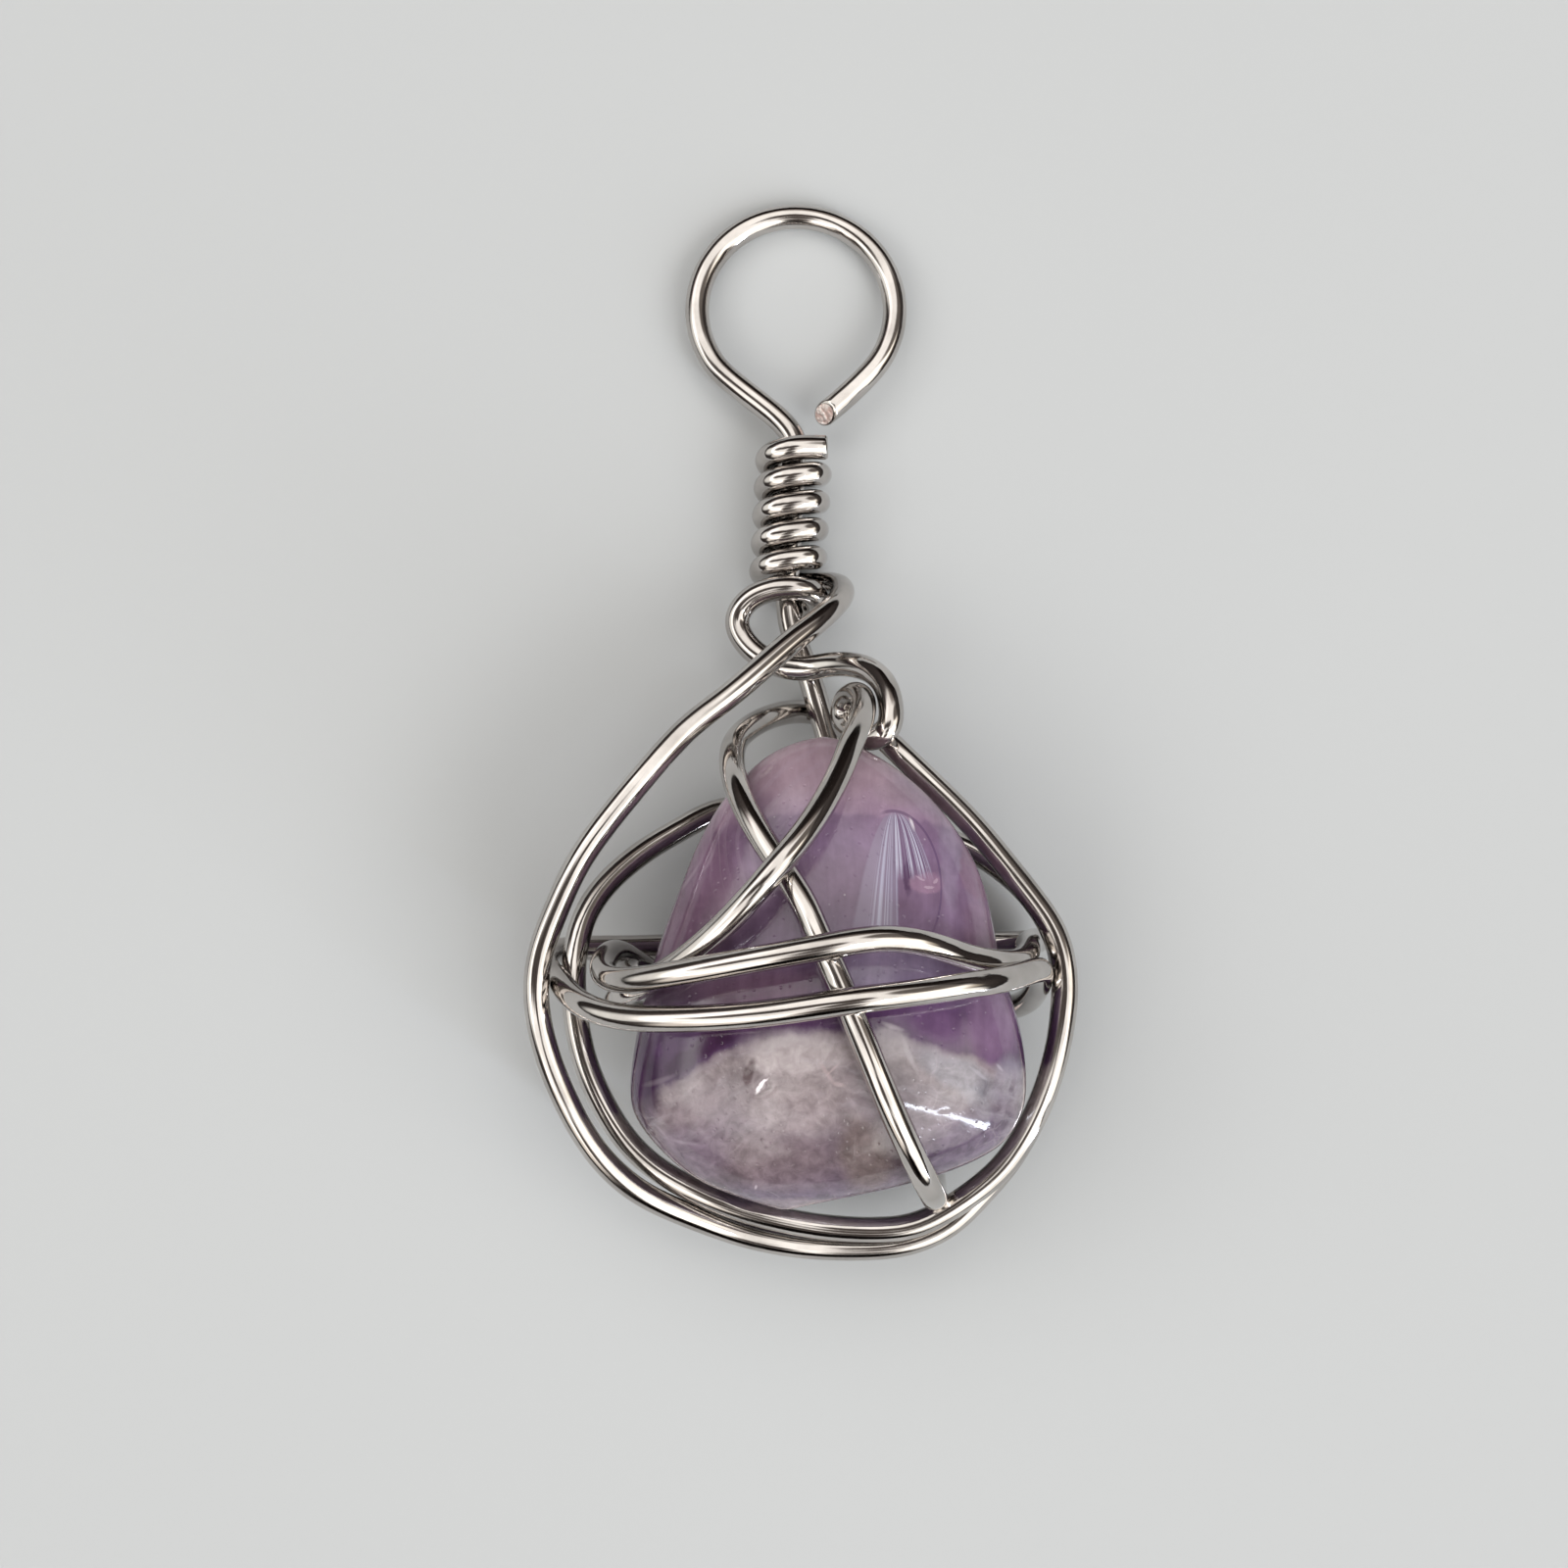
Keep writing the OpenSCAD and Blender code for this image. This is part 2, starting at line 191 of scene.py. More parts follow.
# %% Floor
FLOOR_HALF = 0.6            # metres from the middle to an edge
floor_paper, tree, shader = new_material("paper, pale and matt")
shader.inputs["Base Color"].default_value = linear("#b5b8ba")
shader.inputs["Roughness"].default_value = 0.9
bm = bmesh.new()
bmesh.ops.create_grid(bm, x_segments=1, y_segments=1, size=FLOOR_HALF)
floor_mesh = bpy.data.meshes.new("floor")
bm.to_mesh(floor_mesh)
bm.free()
floor_mesh.materials.append(floor_paper)
floor = bpy.data.objects.new("floor", floor_mesh)
bpy.context.collection.objects.link(floor)
print("floor", [round(v, 2) for v in floor.dimensions])

# %% [markdown]
# Each wire follows a few given points, and a smooth line through them. The line is a
# cubic B-spline, the same one as in the part: its corner points are moved out a little, so that the line
# passes through the chosen points and not inside them. A Bezier curve would do as well, but it would need
# a pair of handles for each point.

# %% Smooth lines
LONGEST_STEP = 0.3          # mm along a straight stretch
WIDEST_BEND = 5             # degrees from one ring to the next


def controls(points):
    """Corner points of a cubic B-spline that passes through the given points."""
    out = list(points)
    for i in range(1, len(points) - 1):
        out[i] = points[i] - (points[i - 1] - 2 * points[i] + points[i + 1]) / 6
    return out


def span_point(a, b, c, d, t):
    """A point of one span of the spline."""
    return (a * (1 - t) ** 3 + b * (3 * t ** 3 - 6 * t * t + 4)
            + c * (3 * t * t - 3 * t ** 3 + 3 * t + 1) + d * t ** 3) / 6


def bend_at(points, i):
    """The turn of a route at one of its points, in degrees."""
    if i <= 0 or i >= len(points) - 1:
        return 0
    return math.degrees((points[i] - points[i - 1]).angle(points[i + 1] - points[i]))


def smooth_line(route):
    """The points of a smooth line along a route, closer together where it bends."""
    p = [Vector(v) for v in route]
    q = controls(p)
    e = [2 * q[0] - q[1]] + q + [2 * q[-1] - q[-2]]
    line = []
    for i in range(len(p) - 1):
        turn = max(bend_at(p, i), bend_at(p, i + 1))
        steps = max(1, math.ceil((p[i + 1] - p[i]).length / LONGEST_STEP), math.ceil(turn / WIDEST_BEND))
        line += [span_point(*e[i:i + 4], k / steps) for k in range(steps)]
    return line + [span_point(*e[-4:], 1)]


print("a test line has", len(smooth_line([(0, 0, 0), (2, 0, 0), (2, 2, 0), (0, 2, 0)])), "points")

# %% [markdown]
# The three routes, in millimetres, with X to the right, Y towards the eye loop and Z up. The first wire
# makes the eye loop, the stem inside the neck, a strand behind the stone and the long diagonal over its
# front. The second winds the neck and goes twice round the stone as a hoop. The third makes the two small
# loops, the upper diagonal and the two bands.

# %% The neck and the eye loop
WIRE_D = 1.0
NECK_Z = 1.57
CORE_TOP = Vector((-0.15, 11.9, NECK_Z))
CORE_END = Vector((-0.45, 6.2, NECK_Z))
EYE_R, EYE_X, EYE_Y, EYE_SLOPE = 4.15, -0.1, 17.6, 0.107
COIL_TURNS, COIL_PITCH, COIL_R, FIRST_Y = 5, 1.16, 1.04, 11.31
COIL_WIDER, CORNER_RIGHT, CORNER_LEFT = 0.05, 4, 2.6        # a corner of 2 makes a round turn


def core_at(y):
    """A point of the straight wire inside the neck."""
    return CORE_TOP + (CORE_END - CORE_TOP) * (CORE_TOP.y - y) / (CORE_TOP.y - CORE_END.y)


def turn_reach(w):
    """How far a turn of the coil stands out from the neck: the pliers left it flat, with tight corners."""
    across, up = abs(math.cos(w)), abs(math.sin(w))
    n = CORNER_RIGHT if math.cos(w) > 0 else CORNER_LEFT
    return ((across / (COIL_R + COIL_WIDER)) ** n + (up / COIL_R) ** n) ** (-1 / n)


eye_arc = []
for w in range(-45, 226, 15):
    y = EYE_Y + EYE_R * math.sin(math.radians(w))
    eye_arc.append((EYE_X + EYE_R * math.cos(math.radians(w)), y, NECK_Z - EYE_SLOPE * (y - CORE_TOP.y)))

coil = []
for w in range(75, 360 * COIL_TURNS - 59, 30):
    middle = core_at(FIRST_Y - COIL_PITCH * (w - 90) / 360)
    a = math.radians(w)
    coil.append(middle + turn_reach(a) * Vector((math.cos(a), 0, math.sin(a))))
coil_end = core_at(FIRST_Y) + Vector((1.50, 0.08, 0.82))
print(len(eye_arc), "points round the eye,", len(coil), "round the neck")

# %% The wires' routes
hanger_route = [
    (0.75, 12.78, 1.47), (1.65, 13.50, 1.40), *eye_arc,
    (-1.40, 13.32, 1.42), (-0.78, 12.74, 1.50), CORE_TOP,
    core_at(11.0), core_at(10.0), core_at(8.0), core_at(7.0), CORE_END,
    (-0.45, 5.10, NECK_Z), (-0.30, 4.00, NECK_Z), (0.05, 3.00, NECK_Z), (0.45, 2.00, NECK_Z),
    (0.85, 0.60, NECK_Z), (1.20, -0.50, NECK_Z), (2.20, -4.45, NECK_Z), (3.40, -8.50, NECK_Z),
    (4.35, -12.50, NECK_Z), (5.10, -16.20, NECK_Z), (5.30, -17.60, 2.10),
    (5.30, -18.20, 3.30), (5.25, -18.55, 4.80), (5.15, -18.72, 6.60), (4.90, -18.35, 8.60),
    (4.20, -17.00, 10.00), (3.30, -15.10, 10.75), (2.55, -13.30, 11.00), (1.30, -10.25, 11.00),
    (0.50, -8.50, 10.70), (0.00, -7.35, 10.35), (-1.20, -5.55, 9.60), (-2.05, -4.00, 8.75),
    (-2.50, -2.75, 7.70), (-2.62, -1.75, 6.40), (-2.40, -0.85, 4.90), (-1.60, -0.05, 3.25),
    (-0.70, 0.45, 1.75), (0.10, 0.65, 0.75), (0.95, 0.60, 0.52)]

frame_route = [
    coil_end, *coil,
    (0.45, 5.98, 0.62), (1.30, 5.93, 1.08), (1.72, 5.65, 1.95), (1.75, 5.10, 3.05),
    (1.28, 4.42, 4.00), (0.60, 3.70, 4.60), (-0.40, 2.85, 5.15), (-1.80, 1.50, 5.75),
    (-3.10, 0.35, 6.15), (-4.45, -0.75, 6.50), (-5.95, -2.50, 6.80), (-7.35, -4.25, 7.00),
    (-8.50, -5.90, 7.10), (-9.30, -7.65, 7.10), (-9.95, -9.45, 7.10), (-10.10, -11.20, 7.05),
    (-9.75, -13.10, 6.85), (-9.00, -15.05, 6.50), (-7.90, -17.05, 5.80), (-6.30, -18.65, 5.05),
    (-4.35, -19.62, 4.30), (-2.45, -20.38, 3.70), (-0.60, -20.82, 3.45), (1.00, -21.00, 3.20),
    (2.70, -21.03, 3.08), (4.30, -20.85, 3.05), (5.95, -20.15, 3.05), (7.15, -18.95, 3.25),
    (8.35, -17.55, 3.55), (9.45, -15.50, 3.90), (10.15, -13.35, 4.20), (10.45, -10.90, 4.35),
    (10.25, -9.00, 4.00), (9.50, -7.40, 3.30), (8.20, -5.95, 2.25), (5.90, -4.60, 1.10),
    (2.20, -3.70, 0.52), (-1.00, -3.30, 0.70), (-3.25, -3.50, 1.25), (-4.65, -4.25, 1.85),
    (-6.05, -5.10, 2.45), (-7.40, -6.25, 3.10), (-8.30, -7.45, 3.65), (-8.75, -8.70, 4.10),
    (-8.90, -10.10, 4.40), (-8.80, -11.80, 4.50), (-8.35, -13.90, 4.55), (-7.20, -16.15, 4.50),
    (-5.95, -17.55, 4.45), (-4.35, -18.53, 4.55), (-2.45, -19.33, 4.48), (-0.50, -19.85, 4.32),
    (1.35, -20.15, 4.15), (3.35, -20.20, 4.15), (5.00, -19.88, 4.15), (7.00, -18.60, 4.35),
    (8.30, -17.30, 4.65), (9.35, -15.40, 5.00), (10.00, -13.40, 5.30), (10.40, -11.00, 5.45),
    (10.15, -9.05, 5.45), (9.45, -7.70, 5.40), (8.15, -6.00, 5.30), (6.80, -4.30, 5.15),
    (4.95, -2.45, 5.00), (3.72, -1.22, 4.80), (3.10, -0.52, 4.22)]

cage_route = [
    (-0.40, 4.95, 0.52), (0.45, 4.85, 0.75), (0.82, 5.02, 1.70), (0.45, 5.40, 2.50),
    (-0.35, 5.50, 2.77), (-1.20, 5.40, 2.70), (-2.00, 5.05, 2.55), (-2.50, 4.35, 2.40),
    (-2.35, 3.55, 2.45), (-1.65, 2.75, 2.62), (-0.75, 2.30, 2.75), (0.20, 2.15, 2.85),
    (1.15, 2.25, 3.35), (2.05, 2.15, 4.10), (2.85, 1.80, 4.85), (3.38, 1.15, 5.45),
    (3.57, 0.38, 5.85), (3.57, -0.35, 6.05), (3.20, -0.92, 5.88), (2.45, -0.90, 5.10),
    (1.98, -0.55, 4.20), (1.75, 0.10, 3.70), (1.90, 0.75, 4.00), (2.28, 0.86, 4.90),
    (2.50, 0.48, 5.80),
    (2.48, -0.05, 6.60), (2.30, -0.70, 7.40), (1.90, -1.60, 8.25), (1.45, -2.80, 9.10),
    (0.40, -4.70, 10.35), (-0.95, -6.40, 11.08), (-2.35, -8.00, 10.72), (-3.90, -9.40, 9.80),
    (-5.25, -10.30, 8.85), (-6.45, -10.85, 7.60), (-7.10, -11.25, 6.00), (-7.00, -11.60, 4.10),
    (-6.10, -11.80, 2.30), (-4.60, -11.75, 1.10), (-2.00, -11.65, 0.54), (1.00, -11.50, 0.52),
    (4.00, -11.35, 0.52), (6.40, -11.50, 0.55), (7.90, -11.55, 0.85),
    (8.60, -11.54, 1.50), (9.15, -11.30, 2.75), (9.36, -10.85, 4.30), (9.36, -10.38, 5.90),
    (9.22, -10.12, 7.05), (8.80, -10.15, 8.00), (7.65, -10.45, 9.80), (6.05, -10.70, 10.95),
    (3.80, -11.00, 11.85), (1.70, -11.25, 12.10), (-1.70, -11.75, 11.55), (-4.90, -11.92, 10.40),
    (-6.95, -11.80, 9.30),
    (-8.40, -11.30, 8.10), (-9.20, -10.60, 6.48), (-9.90, -9.95, 5.30), (-9.95, -9.45, 4.00),
    (-9.20, -9.20, 2.90), (-8.00, -9.15, 2.10), (-6.20, -9.10, 1.25), (-4.00, -9.00, 0.70),
    (-1.00, -8.90, 0.52), (3.00, -8.80, 0.52), (5.50, -8.88, 0.52),
    (8.00, -8.95, 0.58), (9.35, -8.90, 1.05), (9.72, -8.85, 1.85), (9.38, -8.88, 2.90),
    (9.02, -9.08, 4.30),
    (8.92, -9.35, 5.60), (8.58, -9.66, 6.85), (8.05, -9.82, 7.98), (7.20, -9.80, 9.00),
    (6.15, -9.60, 9.80), (5.00, -9.25, 10.75),
    (3.10, -8.95, 11.65), (0.90, -9.30, 11.98), (-1.70, -9.75, 11.60), (-4.25, -10.20, 10.75),
    (-6.20, -10.48, 9.60), (-7.22, -10.38, 8.20), (-7.60, -9.98, 6.70), (-7.45, -9.42, 5.10),
    (-6.95, -9.45, 3.70), (-6.15, -10.00, 2.65), (-4.90, -10.55, 1.90), (-2.50, -11.10, 1.59),
    (0.00, -11.60, 1.59), (2.00, -12.20, 1.30), (3.30, -12.70, 0.70), (4.50, -13.00, 0.52),
    (5.80, -13.10, 0.54), (7.10, -12.95, 0.80)]
print("route points:", len(hanger_route), len(frame_route), len(cage_route))

# %% [markdown]
# The wire is stainless steel that was drawn through a die until it was bright. Drawing leaves faint lines
# along it, far finer than the picture can show, so they are drawn about ten times as coarse as they are and
# kept very shallow: they only soften the edges of the reflections. Handling has left a little haze in
# patches. Where the wire was nipped, the cut face is matt.

# %% Wire materials
steel, tree, shader = new_material("stainless steel wire, drawn bright")
uv = add(tree, "UVMap", uv_map="wire")
stretched = add(tree, "Mapping", {"Vector": uv, "Scale": (0.25, 26, 1)})
draw_lines = add(tree, "TexNoise", {"Vector": stretched, "Scale": 1.0, "Detail": 3.0, "Roughness": 0.6})
place = add(tree, "TexCoord")
haze = add(tree, "TexNoise", {"Vector": (place, 3), "Scale": 420.0, "Detail": 4.0, "Roughness": 0.55})
haze_range = add(tree, "MapRange", {"Value": haze, "From Min": 0.35, "From Max": 0.75,
                                    "To Min": 0.055, "To Max": 0.16})
tint = add(tree, "ValToRGB", {"Fac": haze}, stops=[(0.35, linear("#cac5c1")), (0.7, linear("#aca7a3"))])
bump = add(tree, "Bump", {"Strength": 0.10, "Distance": 0.00004, "Height": draw_lines})
tree.links.new(tint.outputs[0], shader.inputs["Base Color"])
tree.links.new(haze_range.outputs[0], shader.inputs["Roughness"])
tree.links.new(bump.outputs[0], shader.inputs["Normal"])
shader.inputs["Metallic"].default_value = 1.0

nipped, tree, shader = new_material("stainless steel, nipped face")
place = add(tree, "TexCoord")
grain = add(tree, "TexNoise", {"Vector": (place, 3), "Scale": 4500.0, "Detail": 3.0})
bump = add(tree, "Bump", {"Strength": 1.0, "Distance": 0.00015, "Height": grain})
tint = add(tree, "ValToRGB", {"Fac": grain}, stops=[(0.4, linear("#dcc3bc")), (0.62, linear("#fbf3ef"))])
tree.links.new(bump.outputs[0], shader.inputs["Normal"])
tree.links.new(tint.outputs[0], shader.inputs["Base Color"])
shader.inputs["Metallic"].default_value = 1.0
shader.inputs["Roughness"].default_value = 0.62
print("materials:", steel.name, "|", nipped.name)

# %% [markdown]
# A wire starts as a long flat grid. It is rolled up into a tube and laid along the smooth line: each row of
# the grid becomes one ring, and the two long sides are welded. The first and last rings are smaller, which
# rounds off the cut. Hand work shows too: the section is a little oval here and there, the jaws of the pliers
# left small flats, and the cutters left some ends leaning. All of this is pressed into the rings. A curve
# with a round bevel would be quicker to set up, but its rings couldn't be shaped one by one, and the grid
# brings its own map of millimetres along and turns round.

# %% Bend a wire
WIRE_SIDES = 32
END_RINGS = [(0.0, 0.80), (0.03, 0.90), (0.08, 0.97), (0.14, 1.0)]     # mm from the end, share of the radius
OVAL = 0.018                # how far the section is squeezed at most, as a share
OVAL_RATE = 0.35            # how fast the squeeze changes along the wire, per mm
MARK_EDGE = 0.25            # share of a flat's half length over which it fades in
WELD = 0.001                # mm, points nearer than this become one
MARKS = {
    # place on the wire (mm), direction that the jaw pressed from, depth, half length (mm)
    "hanger": [
        ((-3.33, 20.57, 0.90), (0.6, -0.5, 0.6), 0.045, 0.50),
        ((1.68, 21.15, 0.70), (-0.3, -0.7, 0.65), 0.050, 0.35),
        ((3.60, 17.76, 0.90), (-0.6, 0.0, 0.8), 0.040, 0.45),
        ((2.34, 14.00, 1.30), (0.6, -0.6, 0.5), 0.035, 0.40),
        ((-2.85, 15.28, 1.20), (-0.8, -0.2, 0.5), 0.035, 0.50),
        ((1.30, -10.25, 11.00), (-0.5, -0.2, 0.8), 0.030, 0.40),
        ((4.26, -16.94, 10.10), (-0.6, -0.3, 0.7), 0.040, 0.45),
    ],
    "frame": [
        ((-8.79, -6.33, 7.10), (-0.7, 0.5, 0.5), 0.030, 0.60),
        ((-4.43, -0.16, 6.30), (-0.3, 0.3, 0.9), 0.025, 0.50),
        ((-2.13, -19.40, 4.50), (0.1, 0.4, 0.9), 0.030, 0.45),
        ((9.35, -15.40, 5.00), (0.6, -0.3, 0.7), 0.030, 0.50),
        ((8.15, -6.00, 5.30), (-0.5, -0.4, 0.8), 0.030, 0.60),
    ],
    "cage": [
        ((6.57, -10.60, 10.60), (0.3, 0.5, 0.8), 0.040, 0.35),
        ((4.00, -9.05, 11.20), (0.2, 0.5, 0.8), 0.035, 0.30),
        ((-6.45, -10.85, 7.60), (-0.3, 0.6, 0.7), 0.035, 0.40),
        ((3.38, 1.15, 5.45), (0.5, 0.5, 0.7), 0.040, 0.35),
    ],
}
CUTS = {
    # wire: lean of the cut at its start and at its end (0 is square), towards the upper side
    "hanger": (0.80, 0.0), "frame": (0.22, 0.0), "cage": (0.0, 0.55)}
CUT_FADE = 1.4              # mm along the wire over which a leaning cut dies out


def with_ends(line):
    """The line with extra points that round off its two cut ends, and each point's share of the radius."""
    def end(first, second):
        along = (second - first).normalized()
        return [(first + along * reach, share) for reach, share in END_RINGS]
    inner = [(p, 1.0) for p in line[1:-1]]
    return end(line[0], line[1]) + inner + end(line[-1], line[-2])[::-1]


def ring_places(line, seed):
    """For each ring: the distance along the wire and the matrix that lays a unit circle across it."""
    places, side, run = [], None, 0.0
    rings = with_ends(line)
    for i, (p, share) in enumerate(rings):
        before, after = rings[max(i - 1, 0)][0], rings[min(i + 1, len(rings) - 1)][0]
        forward = (after - before).normalized()
        side = forward.orthogonal() if side is None else side
        side = (side - forward * side.dot(forward)).normalized()
        run += (p - before).length
        squeeze = OVAL * noise.noise(Vector((run * OVAL_RATE, seed, 0)))
        radius = WIRE_D / 2 * share * MM
        across = Matrix((side * radius * (1 + squeeze), forward.cross(side) * radius * (1 - squeeze),
                         forward * MM)).transposed()
        places.append((run, Matrix.Translation(in_metres(p)) @ across.to_4x4()))
    return places


def pressed(point, middle, marks):
    """A point of the wire's skin, moved in to the flat that a jaw of the pliers left, if there is one."""
    for place, side, depth, half in marks:
        near = (half * MM - (middle - in_metres(place)).length) / (MARK_EDGE * half * MM)
        if near <= 0:
            continue
        side = Vector(side).normalized()
        limit = (WIRE_D / 2 - depth * min(1, near)) * MM
        over = (point - middle).dot(side) - limit
        if over > 0:
            point = point - side * over
    return point


def trimmed(point, middle, forward, run, total, leans):
    """A point of the wire's skin, moved along the wire near an end whose cut leans."""
    height = (point - middle).z + WIRE_D / 2 * MM
    for lean, away, way in ((leans[0], run, 1), (leans[1], total - run, -1)):
        point = point + forward * way * lean * height * max(0, 1 - away / CUT_FADE)
    return point


def make_wire(name, route, seed):
    """One length of round wire along a route, as a closed mesh with a UV map in mm along and turns round."""
    places = ring_places(smooth_line(route), seed)
    bm = bmesh.new()
    bmesh.ops.create_grid(bm, x_segments=WIRE_SIDES, y_segments=len(places) - 1, size=0.5)
    uv = bm.loops.layers.uv.new("wire")
    for face in bm.faces:
        face.smooth = True
        for loop in face.loops:
            turn, row = loop.vert.co.x + 0.5, round((loop.vert.co.y + 0.5) * (len(places) - 1))
            loop[uv].uv = (places[row][0], turn)
    for v in bm.verts:
        angle, row = math.tau * (v.co.x + 0.5), round((v.co.y + 0.5) * (len(places) - 1))
        run, ring = places[row]
        middle, forward = ring.translation, ring.col[2].xyz.normalized()
        skin = pressed(ring @ Vector((math.cos(angle), math.sin(angle), 0)), middle, MARKS[name])
        v.co = trimmed(skin, middle, forward, run, places[-1][0], CUTS[name])
    bmesh.ops.remove_doubles(bm, verts=bm.verts, dist=WELD * MM)
    open_edges = [e for e in bm.edges if e.is_boundary]
    for cut in bmesh.ops.edgeloop_fill(bm, edges=open_edges)["faces"]:
        cut.material_index = 1
    bmesh.ops.recalc_face_normals(bm, faces=bm.faces)
    mesh = bpy.data.meshes.new(name)
    bm.to_mesh(mesh)
    bm.free()
    mesh.materials.append(steel)
    mesh.materials.append(nipped)
    piece = bpy.data.objects.new(name, mesh)
    bpy.context.collection.objects.link(piece)
    print(name, "length %.1f mm," % places[-1][0], len(places), "rings,", len(mesh.polygons), "faces")
    return piece


# %% Three wires
for name, node, route, seed in (("hanger", "hanger_wire", hanger_route, 1.3),
                                ("frame", "frame_wire", frame_route, 5.7),
                                ("cage", "cage_wire", cage_route, 9.1)):
    piece = make_wire(name, route, seed)
    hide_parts(node)
    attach(piece, "root")

# %% [markdown]
# The stone is a tumbled amethyst: months in a barrel with ever finer grit take its corners off and leave a
# wet-looking polish. Its shape comes from sections across it, one after the other along Y. A sphere made of
# rings and points has the right net for that: each ring becomes one section.

# %% Stone
WIDEST_Z = 6.2
STONE_FRONT, STONE_BACK = 4.1, 3.95
SECTION_POWER = 0.9
STONE_ROWS = [
    # y, left, right, back, front (back and front as shares of the depth)
    (-19.25, -0.85, -0.25, 0.10, 0.10), (-18.95, -1.85, 1.10, 0.33, 0.30),
    (-18.55, -3.00, 3.10, 0.52, 0.48), (-18.00, -4.15, 5.20, 0.68, 0.64),
    (-17.00, -5.35, 7.50, 0.83, 0.80), (-15.85, -6.25, 8.40, 0.92, 0.91),
    (-14.70, -6.55, 8.75, 0.98, 0.98), (-12.60, -6.32, 8.62, 1.00, 1.00),
    (-10.45, -5.85, 8.00, 1.00, 0.94), (-8.80, -5.35, 7.62, 0.98, 0.89),
    (-7.10, -4.72, 7.28, 0.95, 0.83), (-5.50, -4.10, 6.65, 0.89, 0.72),
    (-4.05, -3.35, 5.70, 0.78, 0.60), (-3.05, -2.65, 4.80, 0.63, 0.50),
    (-2.10, -1.75, 3.65, 0.40, 0.38), (-1.50, -0.90, 2.60, 0.24, 0.28),
    (-1.15, 0.00, 1.85, 0.14, 0.18), (-1.00, 0.75, 1.15, 0.06, 0.08)]


def signed_power(value, power):
    """A power of a number that keeps its sign. Below 1 it makes a round section fuller."""
    return math.copysign(abs(value) ** power, value)


def stone_row(place):
    """One row of the stone's table, read smoothly between its lines; place runs from 0 to its last line."""
    table = [Vector(row) for row in STONE_ROWS]
    q = controls(table)
    e = [2 * q[0] - q[1]] + q + [2 * q[-1] - q[-2]]
    i = min(int(place), len(table) - 2)
    return span_point(*e[i:i + 4], place - i)


CHIPS = [
    # middle (mm), half length, half width, half height, direction it opens to (degrees), depth
    ((-1.35, -14.45, 10.15), 0.48, 0.22, 0.6, -44, 0.20), ((-1.75, -13.95, 10.1), 0.30, 0.18, 0.6, 150, 0.07),
    ((7.94, -14.34, 8.30), 0.40, 0.20, 0.6, -20, 0.10), ((1.05, -12.75, 10.3), 0.20, 0.12, 0.6, 100, 0.05),
    ((-5.75, -16.20, 7.90), 0.35, 0.15, 0.6, -130, 0.06), ((6.05, -3.60, 7.30), 0.30, 0.14, 0.6, 40, 0.05),
    ((-1.30, -2.40, 7.40), 0.30, 0.14, 0.6, 130, 0.05), ((4.05, -4.95, 9.05), 0.16, 0.07, 0.5, -50, 0.05),
    ((5.35, -15.30, 9.45), 0.16, 0.08, 0.5, -40, 0.03)]
WAVE_LENGTH, WAVE_DEPTH = 4.5, 0.06     # mm, the slow waves that tumbling leaves in the surface
CHIP_STEEP = 4                          # more makes the border of a chip steeper


def worn(point, normal):
    """A point of the stone's skin, moved in by the slow waves of tumbling and by the chips near it.

    A chip is a small flat that dips towards the side it opens to and ends there in a steep edge.
    """
    depth = WAVE_DEPTH * (0.5 + 0.5 * noise.noise(point / WAVE_LENGTH))
    for middle, length, width, height, opens, deep in CHIPS:
        d = Matrix.Rotation(math.radians(-opens), 3, "Z") @ (point - Vector(middle))
        inside = 1 - (d.y / length) ** 2 - (d.x / width) ** 2 - (d.z / height) ** 2
        if inside > 0:
            depth += deep * min(1.0, CHIP_STEEP * inside) * (1 + d.x / width) / 2
    return point - normal * depth


def make_stone(name, around=288, rings=270):
    """The stone as a closed mesh: each ring of a sphere becomes one section of the table."""
    bm = bmesh.new()
    bmesh.ops.create_uvsphere(bm, u_segments=around, v_segments=rings, radius=1.0)
    last = len(STONE_ROWS) - 1
    rows = {}
    for v in bm.verts:
        lift = math.acos(max(-1.0, min(1.0, -v.co.z))) / math.pi      # 0 at the lower end, 1 at the upper
        k = round(lift * rings)
        if k not in rows:
            rows[k] = stone_row(last * max(0, min(1, (k - 1) / (rings - 2))))
        y, left, right, back, front = rows[k]
        middle, half = (left + right) / 2, (right - left) / 2
        if k in (0, rings):
            v.co = Vector((middle, y, WIDEST_Z))
            continue
        w = math.atan2(v.co.y, v.co.x)
        depth = STONE_FRONT * front if math.sin(w) > 0 else STONE_BACK * back
        v.co = Vector((middle + half * signed_power(math.cos(w), SECTION_POWER), y,
                       WIDEST_Z + depth * signed_power(math.sin(w), SECTION_POWER)))
    bmesh.ops.recalc_face_normals(bm, faces=bm.faces)
    bm.normal_update()
    worn_places = [worn(v.co, v.normal) for v in bm.verts]
    for v, co in zip(bm.verts, worn_places):
        v.co = in_metres(co)
    for face in bm.faces:
        face.smooth = True
    mesh = bpy.data.meshes.new(name)
    bm.to_mesh(mesh)
    bm.free()
    piece = bpy.data.objects.new(name, mesh)
    bpy.context.collection.objects.link(piece)
    print(name, len(mesh.polygons), "faces", [round(v * 1000, 2) for v in piece.dimensions])
    return piece


stone = make_stone("stone_amethyst")
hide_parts("stone")
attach(stone, "root")

# %% [markdown]
# Amethyst is quartz that iron has coloured violet. It grew in layers, so a tumbled piece shows bands: pale
# lilac at the tip, violet in the middle with its deepest line where it meets a milky grey layer, and lilac
# again at the lower rim. All of it is worked out from the place in the stone, in millimetres, so the bands
# run right through and look the same from the side and the back.

